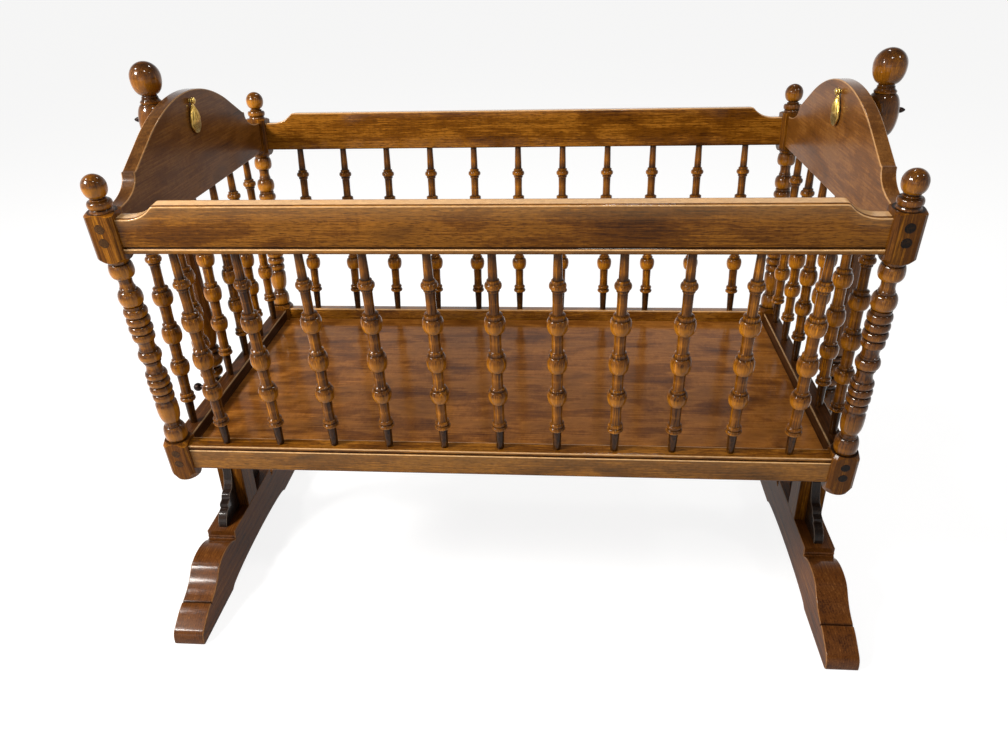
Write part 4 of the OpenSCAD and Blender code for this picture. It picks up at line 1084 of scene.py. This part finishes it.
def photo_camera():
    data = bpy.data.cameras.new("photo_camera")
    data.sensor_fit = "HORIZONTAL"
    data.sensor_width = 36.0
    data.lens = FOCAL / PHOTO_W * data.sensor_width
    data.clip_start = 0.05
    data.clip_end = 100
    cam = bpy.data.objects.new("photo_camera", data)
    scene.collection.objects.link(cam)
    fwd = Vector((math.sin(YAW) * math.cos(PITCH), math.cos(YAW) * math.cos(PITCH), -math.sin(PITCH)))
    right = Vector((math.cos(YAW), -math.sin(YAW), 0))
    up = right.cross(fwd)
    x_axis = right * math.cos(ROLL) + up * math.sin(ROLL)
    y_axis = up * math.cos(ROLL) - right * math.sin(ROLL)
    m = Matrix((x_axis, y_axis, -fwd)).transposed().to_4x4()
    m.translation = Vector(CAM_AT)
    cam.matrix_world = m
    scene.camera = cam


photo_camera()


# ---- floor, backdrop and light ----

def white_where_seen(nt, plain, seen):
    """Mix of two shaders: seen for the camera, reflections and glass, plain for the light that the scene gives."""
    path = nt.nodes.new("ShaderNodeLightPath")
    ray = mathn(nt, "MAXIMUM", path.outputs["Is Camera Ray"], path.outputs["Is Glossy Ray"])
    ray = mathn(nt, "MAXIMUM", ray, path.outputs["Is Transmission Ray"])
    mix = nt.nodes.new("ShaderNodeMixShader")
    nt.links.new(ray, mix.inputs[0])
    nt.links.new(plain.outputs[0], mix.inputs[1])
    nt.links.new(seen.outputs[0], mix.inputs[2])
    return mix.outputs[0]


def floor(size):
    """White floor that keeps the object's shadow."""
    mat = bpy.data.materials.new("pale_floor")
    mat.use_nodes = True
    nt = mat.node_tree
    nt.nodes.clear()
    shadowed = node(nt, "ShaderNodeBsdfDiffuse", Color=(0.22, 0.22, 0.22, 1))
    glow = node(nt, "ShaderNodeEmission", Color=(1, 1, 1, 1), Strength=0.86)
    add = nt.nodes.new("ShaderNodeAddShader")
    nt.links.new(shadowed.outputs[0], add.inputs[0])
    nt.links.new(glow.outputs[0], add.inputs[1])
    plain = node(nt, "ShaderNodeBsdfDiffuse", Color=(0.36, 0.35, 0.33, 1))
    out = nt.nodes.new("ShaderNodeOutputMaterial")
    nt.links.new(white_where_seen(nt, plain, add), out.inputs["Surface"])
    me = bpy.data.meshes.new("floor")
    h = size / 2
    me.from_pydata([(-h, -h, 0), (h, -h, 0), (h, h, 0), (-h, h, 0)], [], [(0, 1, 2, 3)])
    me.materials.append(mat)
    ob = bpy.data.objects.new("floor", me)
    scene.collection.objects.link(ob)


def studio_world():
    """White to the camera, darker overhead in reflections, a soft plain light for the rest."""
    scene.world = bpy.data.worlds.new("studio")
    scene.world.use_nodes = True
    nt = scene.world.node_tree
    nt.nodes.clear()
    base = node(nt, "ShaderNodeBackground", Color=(1.0, 0.98, 0.95, 1), Strength=0.26)
    seen = node(nt, "ShaderNodeBackground", Color=(1, 1, 1, 1))
    coords = nt.nodes.new("ShaderNodeTexCoord")
    axes = nt.nodes.new("ShaderNodeSeparateXYZ")
    nt.links.new(coords.outputs["Generated"], axes.inputs[0])
    nt.links.new(span(nt, axes.outputs["Z"], 0.15, 0.7, 1.0, 0.10), seen.inputs["Strength"])
    out = nt.nodes.new("ShaderNodeOutputWorld")
    nt.links.new(white_where_seen(nt, base, seen), out.inputs["Surface"])


def area(name, place, target, width, depth, power, color):
    light = bpy.data.lights.new(name, "AREA")
    light.energy = power
    light.color = color
    light.shape = "RECTANGLE"
    light.size = width
    light.size_y = depth
    ob = bpy.data.objects.new(name, light)
    scene.collection.objects.link(ob)
    ob.location = place
    ob.rotation_euler = (Vector(target) - Vector(place)).to_track_quat("-Z", "Y").to_euler()


WARM, MILD = (1.0, 0.97, 0.93), (1.0, 0.98, 0.96)
CEILING = ((-1.9, -0.4, 2.5, 18), (0.3, -1.5, 2.8, 22), (2.1, -0.9, 2.7, 11), (0.4, 1.2, 3.0, 14))

floor(60)
studio_world()
area("key_left", (-1.75, -1.15, 1.8), (-0.1, 0, 0.5), 0.6, 0.5, 98, WARM)
area("low_front", (-1.1, -3.0, 0.7), (-0.1, 0, 0.4), 2.2, 0.9, 10, WARM)
for k, (x, y, z, power) in enumerate(CEILING):
    area("ceiling_%d" % k, (x, y, z), (0, 0, 0.5), 0.36, 0.26, power, MILD)
